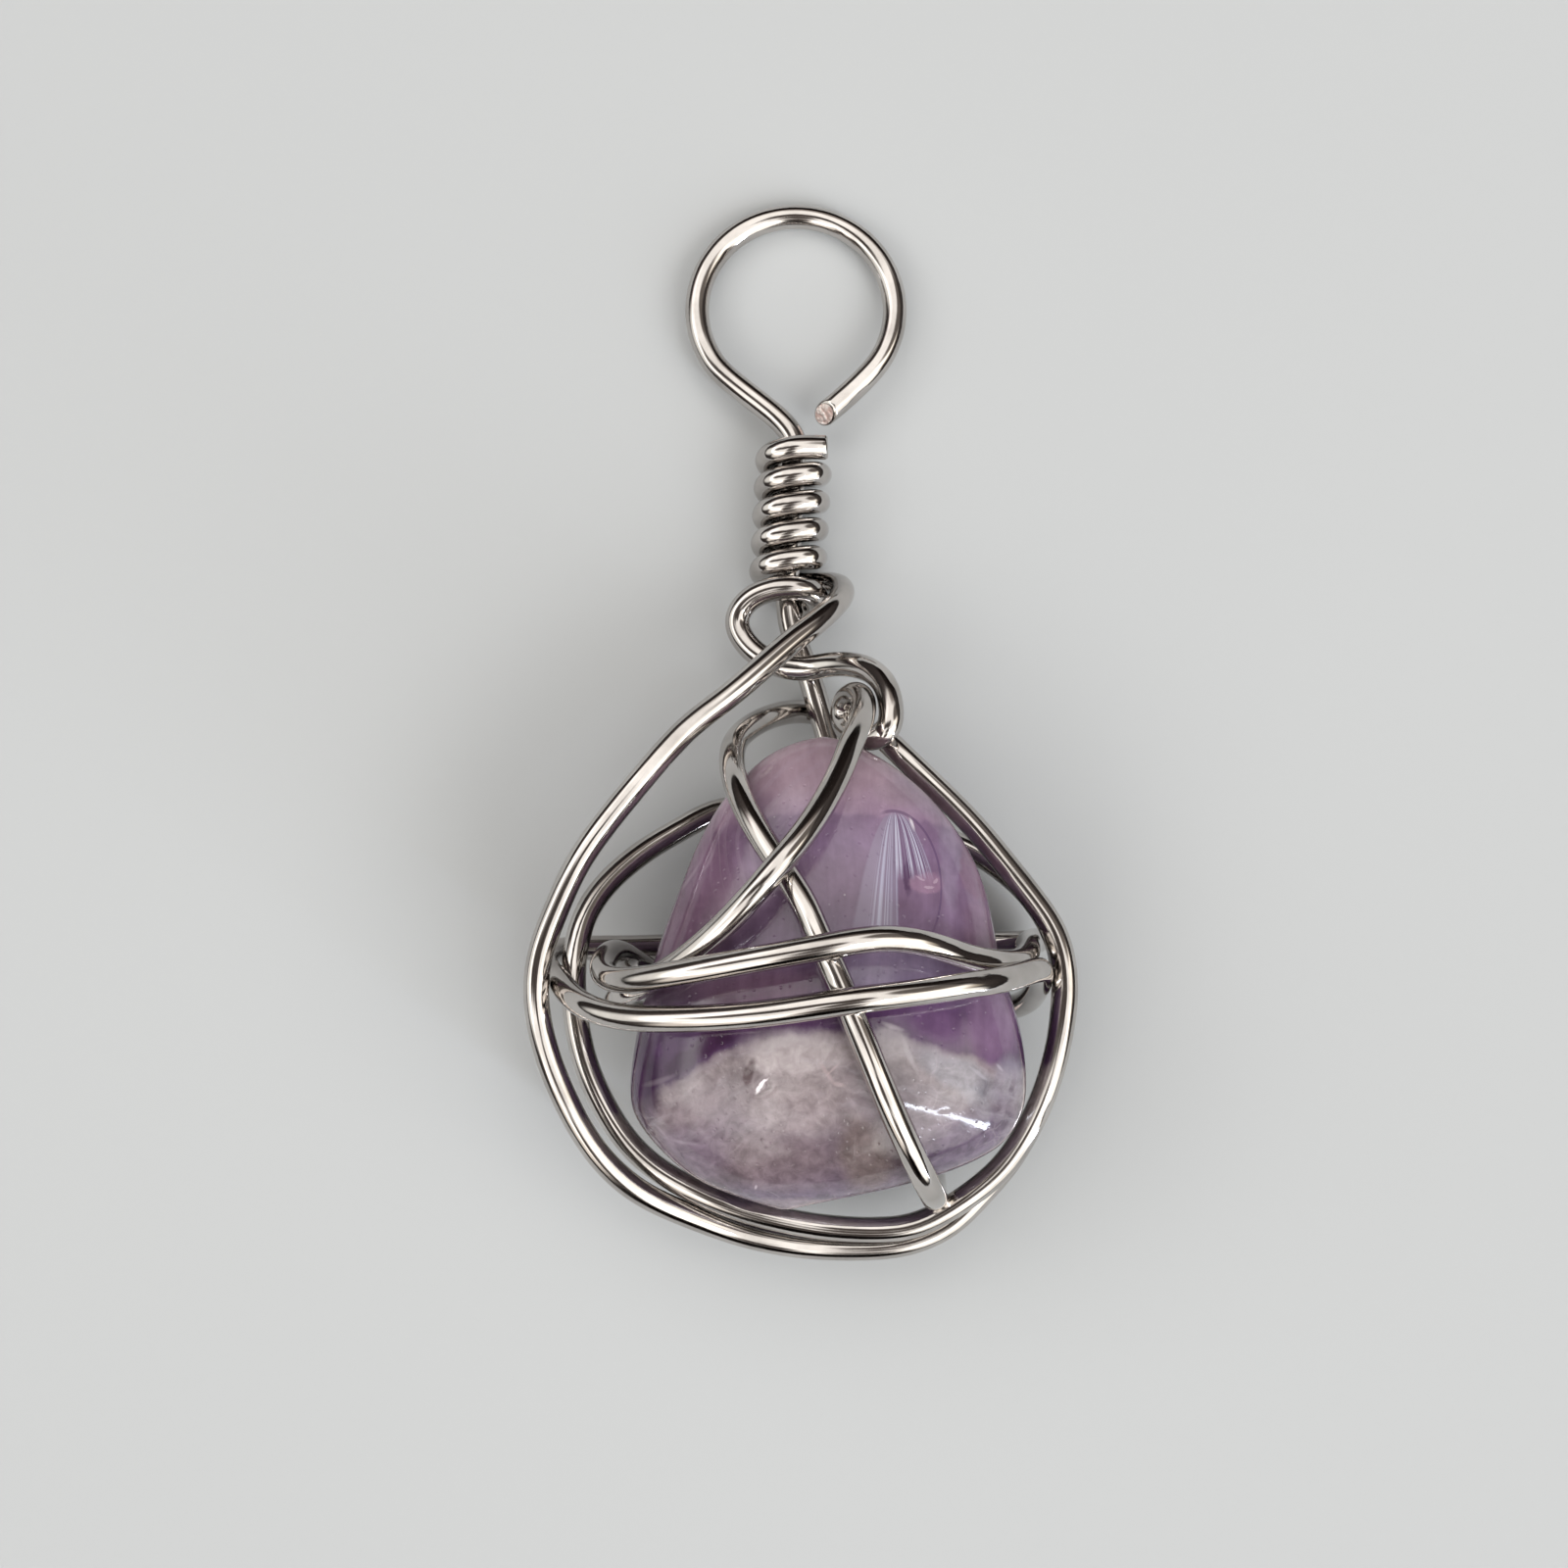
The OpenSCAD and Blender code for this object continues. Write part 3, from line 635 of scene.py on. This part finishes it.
# %% Stone places
amethyst, tree, shader = new_material("amethyst, tumbled and polished")
place = add(tree, "TexCoord")
mm = add(tree, "Mapping", {"Vector": (place, 3), "Scale": (1000, 1000, 1000), "Location": -SHIFT})
slow = add(tree, "TexNoise", {"Vector": mm, "Scale": 0.24, "Detail": 1.0})
slow = add(tree, "VectorMath", {0: (slow, 1), 1: (-0.5, -0.5, -0.5)}, operation="ADD")
warped = add(tree, "VectorMath", {0: slow, 1: (1.2, 1.2, 1.2), 2: mm}, operation="MULTIPLY_ADD")
quick = add(tree, "TexNoise", {"Vector": mm, "Scale": 1.1, "Detail": 4.0, "Roughness": 0.55})
quick = add(tree, "VectorMath", {0: (quick, 1), 1: (-0.5, -0.5, -0.5)}, operation="ADD")
ragged = add(tree, "VectorMath", {0: quick, 1: (0.6, 0.6, 0.6), 2: warped}, operation="MULTIPLY_ADD")
xyz = add(tree, "SeparateXYZ", {0: ragged})

# The layers arch over the stone: height in them = y + 0.045 u^2 - 0.002 u^3 + 0.10 (z - 9.5), u = x - 1
u = add(tree, "Math", {0: (xyz, 0), 1: -1.0}, operation="ADD")
square = add(tree, "Math", {0: u, 1: u}, operation="MULTIPLY")
lean = add(tree, "Math", {0: u, 1: -0.002, 2: 0.045}, operation="MULTIPLY_ADD")
arch = add(tree, "Math", {0: square, 1: lean, 2: (xyz, 1)}, operation="MULTIPLY_ADD")
above = add(tree, "Math", {0: (xyz, 2), 1: -9.5}, operation="ADD")
layer = add(tree, "Math", {0: above, 1: 0.10, 2: arch}, operation="MULTIPLY_ADD")
LOWEST, HIGHEST = -19.0, -0.5


def layer_share(height):
    """A height in the layers, in mm, as a share of the way from the lowest to the highest."""
    return (height - LOWEST) / (HIGHEST - LOWEST)


layer = add(tree, "MapRange", {"Value": layer, "From Min": LOWEST, "From Max": HIGHEST})
LAYERS = [
    # height in the layers (mm), colour
    (-18.9, "#7f747f"), (-18.6, "#62576a"), (-17.0, "#62575f"), (-15.4, "#6e626e"), (-13.9, "#7c7479"),
    (-12.9, "#8a8285"), (-12.4, "#82777e"), (-12.15, "#503a58"), (-11.8, "#482f4e"), (-10.9, "#593f63"),
    (-9.6, "#6a5a71"), (-8.2, "#735e78"), (-6.4, "#7c6780"), (-5.3, "#806a87"), (-4.2, "#806a85"),
    (-4.0, "#967f96"), (-3.0, "#a58f9e"), (-1.8, "#a48f9b")]
stops = [(layer_share(h), linear(colour)) for h, colour in LAYERS]
layers = add(tree, "ValToRGB", {"Fac": layer}, stops=stops)
skin = (layers, 0)
print(len(LAYERS), "layers")

# %% [markdown]
# Inside the layers lie places of their own: deep violet knots just above the milk, a warm grey cloud low in
# the middle, lilac hazes at the rims, a broken place by the fan. Each is a soft ellipsoid in millimetres,
# mixed in one after another. They sit near the front or near the back, so the two sides differ as they do in
# a real stone. The back can't be seen in the picture, so its places are invented. A few of them are painted
# light and shade: the violet between the bands is lightened by painted light against the bands' shade, the
# left rim holds some painted shade, and by the chip lie painted shade in its hollow and a painted glint.

# %% Patches in the stone
PATCHES = [
    # middle (mm), half sizes (mm), turn (degrees), soft share, colour, strength
    ((-4.2, -7.4, 8.0), (1.7, 3.6, 4.0), -20, 0.9, "#634a5a", 0.65),      # greyer left flank
    ((5.0, -2.9, 7.6), (1.6, 1.3, 2.0), -30, 0.8, "#8a7a90", 0.55),       # pale tip, right
    ((3.7, -3.35, 8.2), (0.9, 0.5, 1.2), 0, 0.9, "#93838f", 0.50),
    ((6.95, -6.1, 7.3), (0.95, 1.35, 2.0), 12, 0.25, "#7c5f73", 0.60),    # plum right flank, with a step
    ((5.70, -6.2, 8.2), (0.40, 1.9, 2.5), 8, 0.5, "#877b90", 0.55),       # light band beside it
    ((7.1, -8.6, 7.6), (0.9, 1.2, 2.0), 10, 0.4, "#836c80", 0.55),
    # These two are lighter than the stone's own violet: painted light that makes up for the shade the two
    # bands cast here.
    ((3.5, -10.0, 9.8), (2.2, 0.9, 2.2), 6, 0.8, "#9485a2", 0.75),        # violet between the bands
    ((4.4, -8.5, 9.3), (1.9, 0.7, 2.2), 0, 0.9, "#8c7795", 0.60),
    ((-1.9, -10.8, 9.9), (2.4, 0.8, 2.2), 4, 0.9, "#7a5c70", 0.60),
    ((-3.44, -12.75, 9.6), (0.85, 0.42, 2.2), 35, 0.7, "#371b3a", 0.80),  # knots of violet
    ((-4.52, -13.45, 9.0), (0.60, 0.32, 2.2), 38, 0.7, "#3b2140", 0.75),
    ((3.2, -11.7, 10.0), (1.2, 0.30, 2.2), -8, 0.7, "#4b3055", 0.60),
    ((5.1, -12.2, 9.6), (1.5, 0.50, 2.2), -14, 0.7, "#674d70", 0.70),
    ((7.1, -12.2, 8.2), (1.1, 1.2, 2.5), -10, 0.8, "#856d89", 0.70),      # right rim
    ((7.9, -14.2, 8.1), (0.7, 1.0, 1.8), 0, 0.7, "#84808d", 0.65),
    # The left rim is darker than its purple alone would be: part of this is painted shade along that side.
    ((-5.9, -14.4, 7.6), (0.75, 1.9, 2.5), 2, 0.7, "#3a2540", 0.80),      # purple left rim
    ((-0.1, -13.1, 10.1), (1.9, 0.80, 1.6), -4, 0.9, "#b8b1b3", 0.75),    # light milk under its edge
    ((3.45, -12.75, 10.1), (0.75, 0.55, 1.2), -30, 0.6, "#a39da0", 0.70),
    ((5.9, -13.9, 9.4), (1.9, 0.55, 1.6), -28, 0.7, "#858792", 0.60),     # bluish veils
    ((6.7, -15.0, 8.8), (1.0, 0.40, 1.4), -40, 0.7, "#80818c", 0.45),
    ((-4.3, -15.3, 9.0), (1.7, 0.80, 1.6), 36, 0.8, "#81767d", 0.65),
    ((-3.2, -16.0, 9.0), (1.2, 0.8, 2.2), 20, 0.9, "#6c606c", 0.50),      # lilac haze
    ((2.3, -16.9, 9.2), (0.9, 1.5, 2.2), 12, 0.9, "#645a57", 0.75),       # warm grey cloud
    ((0.0, -15.0, 9.6), (2.2, 1.2, 2.2), 4, 0.9, "#9a9293", 0.65),
    ((-1.2, -17.2, 9.0), (2.2, 1.0, 2.2), -4, 0.9, "#74686d", 0.60),
    ((-4.2, -17.1, 8.0), (1.7, 1.2, 2.5), 25, 0.8, "#766a79", 0.70),      # lilac lower rim
    ((6.2, -16.8, 8.0), (2.4, 1.4, 2.5), 28, 0.8, "#5f5468", 0.80),
    ((-1.10, -13.20, 10.1), (0.55, 0.70, 0.8), -20, 0.50, "#b9b2b4", 0.65),   # pale face by the chip
    # The dark in the hollow beside the chip is painted shade, and the thin white mark under it is a painted
    # glint.
    ((-1.85, -13.85, 10.0), (0.22, 0.50, 0.8), -15, 0.60, "#57494c", 0.70),   # hollow beside it
    ((-1.36, -14.33, 10.1), (0.38, 0.06, 0.6), 42, 0.70, "#f2eef2", 0.90),
    ((3.98, -6.70, 9.2), (0.17, 0.60, 1.5), -4, 0.6, "#4a3350", 0.75),    # dark core of the fan
    ((4.82, -7.00, 9.0), (0.78, 0.42, 1.2), 4, 0.30, "#987b92", 0.65),    # broken place at its end
    ((4.50, -6.82, 9.1), (0.20, 0.06, 1.0), -30, 0.5, "#ad98aa", 0.80),
    ((4.88, -7.16, 9.0), (0.30, 0.05, 1.0), 8, 0.5, "#ad98aa", 0.80),
    ((5.20, -6.86, 8.9), (0.14, 0.09, 1.0), 40, 0.5, "#b19cad", 0.80),
    ((2.6, -6.0, 3.0), (3.4, 3.0, 2.2), 20, 0.8, "#87758b", 0.55),        # the back
    ((-2.0, -10.5, 2.6), (2.8, 2.2, 2.2), -15, 0.8, "#4a3452", 0.60),
    ((3.2, -15.2, 2.6), (3.0, 1.8, 2.2), 10, 0.8, "#9a9297", 0.55),
    ((-3.2, -16.4, 3.4), (1.8, 1.2, 2.2), 30, 0.9, "#675c60", 0.55)]
for middle, sizes, turn, soft, colour, strength in PATCHES:
    inside = add(tree, "Mapping", {"Vector": ragged, "Location": middle, "Scale": sizes,
                                   "Rotation": (0, 0, math.radians(turn))}, vector_type="TEXTURE")
    far = add(tree, "VectorMath", {0: inside}, operation="LENGTH")
    mask = add(tree, "MapRange", {"Value": (far, 1), "From Min": 1 + soft / 2, "From Max": 1 - soft / 2,
                                  "To Max": strength}, interpolation_type="SMOOTHSTEP")
    skin = (add(tree, "Mix", {0: mask, 6: skin, 7: linear(colour)}, data_type="RGBA"), 2)
print(len(PATCHES), "patches")

# %% [markdown]
# Quartz grows in fine lines and heals its cracks, so nothing in it is one even tone. Streaks run with the
# growth, along the left flank. Clouds of tiny bubbles mottle the milk, wisps lie along its upper edge, and
# a few cells with pale edges, thin threads and specks run through it. The threads are a few hundredths of a
# millimetre wide in the stone and are drawn at about a tenth, or the render couldn't show them. One short
# white streak at the upper end of the fan is drawn like a thread, but it is a painted glint.

# %% Streaks, clouds and threads
milky = add(tree, "MapRange", {"Value": layer, "From Min": layer_share(-12.2),
                               "From Max": layer_share(-12.9)}, interpolation_type="SMOOTHSTEP")
violet = add(tree, "Math", {0: 1.0, 1: milky}, operation="SUBTRACT")

along = add(tree, "Mapping", {"Vector": warped, "Rotation": (0, 0, math.radians(20)),
                              "Scale": (1.5, 0.13, 0.6)})
streak = add(tree, "TexNoise", {"Vector": along, "Scale": 1.0, "Detail": 5.0, "Roughness": 0.6})
streak = add(tree, "ValToRGB", {"Fac": streak}, stops=[(0.32, linear("#8a8a8a")), (0.68, linear("#dcdcdc"))])
share = add(tree, "Math", {0: violet, 1: 0.42}, operation="MULTIPLY")
skin = (add(tree, "Mix", {0: share, 6: skin, 7: streak}, data_type="RGBA", blend_type="SOFT_LIGHT"), 2)

for scale, detail, dark, light, in_violet, in_milk in ((0.55, 3.0, "#857f83", "#dfd9dd", 0.32, 0.32),
                                                       (2.1, 5.0, "#7c7470", "#e6e2e0", 0.12, 0.50)):
    cloud = add(tree, "TexNoise", {"Vector": warped, "Scale": scale, "Detail": detail, "Roughness": 0.6,
                                   "Distortion": 0.4})
    cloud = add(tree, "ValToRGB", {"Fac": cloud}, stops=[(0.34, linear(dark)), (0.66, linear(light))])
    share = add(tree, "MapRange", {"Value": milky, "To Min": in_violet, "To Max": in_milk})
    skin = (add(tree, "Mix", {0: share, 6: skin, 7: cloud}, data_type="RGBA", blend_type="SOFT_LIGHT"), 2)

bowed = add(tree, "CombineXYZ", {"X": (xyz, 0), "Y": layer, "Z": (xyz, 2)})
bowed = add(tree, "Mapping", {"Vector": bowed, "Scale": (0.45, 30.0, 0.5)})
wisp = add(tree, "TexNoise", {"Vector": bowed, "Scale": 1.0, "Detail": 4.0, "Roughness": 0.55,
                              "Distortion": 0.5})
wisp = add(tree, "MapRange", {"Value": wisp, "From Min": 0.52, "From Max": 0.68, "To Max": 0.30})
edge = add(tree, "MapRange", {"Value": layer, "From Min": layer_share(-16.2), "From Max": layer_share(-14.2),
                              "To Min": 0.25})
for part in (milky, edge):
    wisp = add(tree, "Math", {0: wisp, 1: part}, operation="MULTIPLY")
skin = (add(tree, "Mix", {0: wisp, 6: skin, 7: linear("#aaa4ac")}, data_type="RGBA"), 2)

cells = add(tree, "TexVoronoi", {"Vector": ragged, "Scale": 0.85}, feature="DISTANCE_TO_EDGE")
rim = add(tree, "MapRange", {"Value": cells, "From Min": 0.045, "From Max": 0.0, "To Max": 0.15})
where = add(tree, "TexNoise", {"Vector": mm, "Scale": 0.5, "Detail": 2.0})
where = add(tree, "MapRange", {"Value": where, "From Min": 0.50, "From Max": 0.64})
rim = add(tree, "Math", {0: rim, 1: where}, operation="MULTIPLY")
rim = add(tree, "Math", {0: rim, 1: milky}, operation="MULTIPLY")
skin = (add(tree, "Mix", {0: rim, 6: skin, 7: linear("#b8b0b4")}, data_type="RGBA"), 2)

ridge = add(tree, "TexNoise", {"Vector": warped, "Scale": 0.55, "Detail": 4.0, "Roughness": 0.45},
            noise_type="RIDGED_MULTIFRACTAL")
thread = add(tree, "MapRange", {"Value": ridge, "From Min": 1.60, "From Max": 1.95, "To Max": 0.18})
skin = (add(tree, "Mix", {0: thread, 6: skin, 7: linear("#b0a5b4")}, data_type="RGBA"), 2)

dots = add(tree, "TexVoronoi", {"Vector": mm, "Scale": 1.7, "Randomness": 1.0})
speck = add(tree, "MapRange", {"Value": dots, "From Min": 0.09, "From Max": 0.05, "To Max": 0.45})
speck = add(tree, "Math", {0: speck, 1: where}, operation="MULTIPLY")
skin = (add(tree, "Mix", {0: speck, 6: skin, 7: linear("#c4bcc2")}, data_type="RGBA"), 2)
THREADS_AND_GLINT = [
    # one end and the other (x and y in mm), height, half width, strength, colour
    ((0.86, -13.40), (1.29, -14.35), 10.2, 0.09, 0.28, "#c0acae"),     # a cracked place in the milk
    ((1.28, -14.34), (1.71, -14.52), 10.2, 0.09, 0.32, "#c8b6b8"),
    ((1.03, -14.01), (1.56, -13.58), 10.3, 0.05, 0.30, "#c0acae"),
    ((-5.48, -15.89), (-4.92, -16.40), 8.1, 0.06, 0.35, "#a598a4"),    # a pale curve at the left
    ((-4.92, -16.40), (-3.94, -16.51), 8.4, 0.06, 0.30, "#a598a4"),
    ((-5.92, -14.42), (-4.72, -13.87), 8.5, 0.10, 0.20, "#a69aa2"),    # along the edge of the milk
    ((3.10, -12.03), (3.83, -12.29), 10.1, 0.08, 0.40, "#bdb4ba"),
    ((7.39, -13.45), (7.67, -13.71), 8.6, 0.06, 0.40, "#c2bcc6"),
    ((6.16, -13.57), (6.99, -14.09), 9.2, 0.08, 0.35, "#b4b0ba"),
    ((3.90, -12.65), (4.33, -13.73), 10.0, 0.10, 0.35, "#bcb6ba"),
    ((-4.47, -7.13), (-3.84, -5.71), 7.4, 0.06, 0.30, "#a491a2"),      # scratches on the left flank
    ((-3.74, -6.29), (-3.19, -5.21), 7.9, 0.06, 0.28, "#a491a2"),
    ((-5.30, -8.60), (-4.78, -7.24), 6.8, 0.06, 0.25, "#9c8a98"),
    # A painted glint, a short white streak where light catches the stone, drawn like a thread:
    ((4.18, -4.30), (4.42, -4.85), 8.4, 0.05, 0.80, "#e6e0e8"),        # a glint at the fan's upper end
    ((-1.59, -18.29), (-1.52, -18.09), 8.4, 0.06, 0.60, "#beb2bc")]
for (x1, y1), (x2, y2), z, half_width, strength, colour in THREADS_AND_GLINT:
    half = Vector((x2 - x1, y2 - y1)) / 2
    inside = add(tree, "Mapping", {"Vector": warped, "Location": (x1 + half.x, y1 + half.y, z),
                                   "Scale": (half.length, half_width, 1.2),
                                   "Rotation": (0, 0, math.atan2(half.y, half.x))}, vector_type="TEXTURE")
    far = add(tree, "VectorMath", {0: inside}, operation="LENGTH")
    mask = add(tree, "MapRange", {"Value": (far, 1), "From Min": 1.3, "From Max": 0.5, "To Max": strength})
    skin = (add(tree, "Mix", {0: mask, 6: skin, 7: linear(colour)}, data_type="RGBA"), 2)
print("streaks, clouds, wisps, cells, specks and", len(THREADS_AND_GLINT), "single threads")

# %% [markdown]
# A fan of fine pale lines spreads from one point in the upper half, under the front: a crack that was opened
# by a knock and partly healed. It is closed on the left by an edge that bows out like half an arch, and its
# lines bow the same way, so they are drawn from the sideways distance shared by the root of the distance
# down. The lines on the right are bright and short. A thin dark dome line closes the arch on the right, and
# thin arcs cross the tip on the left.

# %% The fan and the arcs
FAN = (3.60, -4.05, 8.6)
from_fan = add(tree, "Mapping", {"Vector": mm, "Location": FAN}, vector_type="TEXTURE")
fan = add(tree, "SeparateXYZ", {0: from_fan})
down = add(tree, "Math", {0: (fan, 1), 1: -1.0}, operation="MULTIPLY")
front = add(tree, "MapRange", {"Value": (fan, 2), "From Min": -2.2, "From Max": -0.9})
root = add(tree, "Math", {0: down, 1: 0.01}, operation="MAXIMUM")
root = add(tree, "Math", {0: root, 1: 0.5}, operation="POWER")
spread = add(tree, "Math", {0: (fan, 0), 1: root}, operation="DIVIDE")
hair = add(tree, "TexNoise", {"W": spread, "Scale": 11.0, "Detail": 2.0, "Roughness": 0.6},
           noise_dimensions="1D")
hair = add(tree, "MapRange", {"Value": hair, "From Min": 0.47, "From Max": 0.58})

left_side = add(tree, "MapRange", {"Value": spread, "From Min": -0.80, "From Max": -0.74})
middle_side = add(tree, "MapRange", {"Value": (fan, 0), "From Min": 0.10, "From Max": -0.02})
upper_end = add(tree, "MapRange", {"Value": down, "From Min": 0.0, "From Max": 0.25})
lower_end = add(tree, "MapRange", {"Value": down, "From Min": 5.2, "From Max": 4.2})
veil = add(tree, "Math", {0: left_side, 1: middle_side}, operation="MULTIPLY")
for part in (upper_end, lower_end, front):
    veil = add(tree, "Math", {0: veil, 1: part}, operation="MULTIPLY")
share = add(tree, "MapRange", {"Value": spread, "From Min": -0.8, "From Max": 0.0,
                               "To Min": 0.65, "To Max": 0.85})
share = add(tree, "Math", {0: veil, 1: share}, operation="MULTIPLY")
skin = (add(tree, "Mix", {0: share, 6: skin, 7: linear("#8b7f95")}, data_type="RGBA"), 2)

lined = add(tree, "MapRange", {"Value": spread, "From Min": -0.55, "From Max": -0.35, "To Max": 0.85})
share = add(tree, "Math", {0: veil, 1: lined}, operation="MULTIPLY")
pale_share = add(tree, "Math", {0: share, 1: hair}, operation="MULTIPLY")
skin = (add(tree, "Mix", {0: pale_share, 6: skin, 7: linear("#b0aec4")}, data_type="RGBA"), 2)

far_right = add(tree, "MapRange", {"Value": spread, "From Min": 0.95, "From Max": 0.80})
from_middle = add(tree, "MapRange", {"Value": spread, "From Min": -0.10, "From Max": 0.02})
short = add(tree, "MapRange", {"Value": down, "From Min": 2.7, "From Max": 2.1})
share = add(tree, "Math", {0: far_right, 1: from_middle}, operation="MULTIPLY")
for part in (short, upper_end, front):
    share = add(tree, "Math", {0: share, 1: part}, operation="MULTIPLY")
dark_share = add(tree, "Math", {0: share, 1: 0.45}, operation="MULTIPLY")
skin = (add(tree, "Mix", {0: dark_share, 6: skin, 7: linear("#5f4b6b")}, data_type="RGBA"), 2)
share = add(tree, "Math", {0: share, 1: hair}, operation="MULTIPLY")
share = add(tree, "Math", {0: share, 1: 0.9}, operation="MULTIPLY")
skin = (add(tree, "Mix", {0: share, 6: skin, 7: linear("#bdbbcf")}, data_type="RGBA"), 2)

DOME, DOME_SIZES = (3.6, -6.9, 9.2), (1.75, 2.9, 4.0)
ring = add(tree, "Mapping", {"Vector": mm, "Location": DOME, "Scale": DOME_SIZES}, vector_type="TEXTURE")
ring = add(tree, "VectorMath", {0: ring}, operation="LENGTH")
ring = add(tree, "Math", {0: (ring, 1), 1: 1.0, 2: 0.022}, operation="COMPARE")
share = add(tree, "Math", {0: ring, 1: 0.55}, operation="MULTIPLY")
right_half = add(tree, "MapRange", {"Value": (fan, 0), "From Min": -0.6, "From Max": -0.3})
for part in (right_half, lower_end, front):
    share = add(tree, "Math", {0: share, 1: part}, operation="MULTIPLY")
skin = (add(tree, "Mix", {0: share, 6: skin, 7: linear("#574263")}, data_type="RGBA"), 2)

ARCS = (2.6, -5.9, 9.0)
arcs = add(tree, "Mapping", {"Vector": warped, "Location": ARCS, "Scale": (1, 1, 3)}, vector_type="TEXTURE")
arcs = add(tree, "VectorMath", {0: arcs}, operation="LENGTH")
arcs = add(tree, "TexNoise", {"W": (arcs, 1), "Scale": 3.2, "Detail": 3.0, "Roughness": 0.6},
           noise_dimensions="1D")
arcs = add(tree, "MapRange", {"Value": arcs, "From Min": 0.52, "From Max": 0.64, "To Max": 0.28})
tip = add(tree, "MapRange", {"Value": (xyz, 1), "From Min": -7.5, "From Max": -4.0})
flank = add(tree, "MapRange", {"Value": (xyz, 0), "From Min": 1.6, "From Max": 0.4})
for part in (tip, flank):
    arcs = add(tree, "Math", {0: arcs, 1: part}, operation="MULTIPLY")
skin = (add(tree, "Mix", {0: arcs, 6: skin, 7: linear("#a795a5")}, data_type="RGBA"), 2)
tree.links.new(skin[0].outputs[skin[1]], shader.inputs["Base Color"])
print("fan at", FAN, "dome at", DOME)

# %% [markdown]
# The polish: quartz bends light as glass does (IOR 1.544). Light goes in a little and comes out again, which
# a low share of subsurface scattering gives. The gloss is uneven, with hazy places and tiny pits that break
# the streak of light. The pits are a few hundredths of a millimetre wide and drawn about three times as wide.

# %% Stone polish
haze = add(tree, "TexNoise", {"Vector": mm, "Scale": 0.7, "Detail": 5.0, "Roughness": 0.6})
gloss = add(tree, "MapRange", {"Value": haze, "From Min": 0.4, "From Max": 0.7,
                               "To Min": 0.05, "To Max": 0.17})
tree.links.new(gloss.outputs[0], shader.inputs["Roughness"])
pits = add(tree, "TexVoronoi", {"Vector": mm, "Scale": 3.0})
pits = add(tree, "MapRange", {"Value": pits, "From Min": 0.10, "From Max": 0.22})
peel = add(tree, "TexNoise", {"Vector": mm, "Scale": 2.2, "Detail": 3.0})
relief = add(tree, "Math", {0: peel, 1: 0.6, 2: pits}, operation="MULTIPLY_ADD")
bump = add(tree, "Bump", {"Strength": 0.25, "Distance": 0.00003, "Height": relief})
tree.links.new(bump.outputs[0], shader.inputs["Normal"])
shader.inputs["IOR"].default_value = 1.544
shader.inputs["Subsurface Weight"].default_value = 0.18
shader.inputs["Subsurface Radius"].default_value = (1.0, 0.8, 1.0)
shader.inputs["Subsurface Scale"].default_value = 0.4 * MM
stone.data.materials.append(amethyst)
print(len(tree.nodes), "nodes in", amethyst.name)
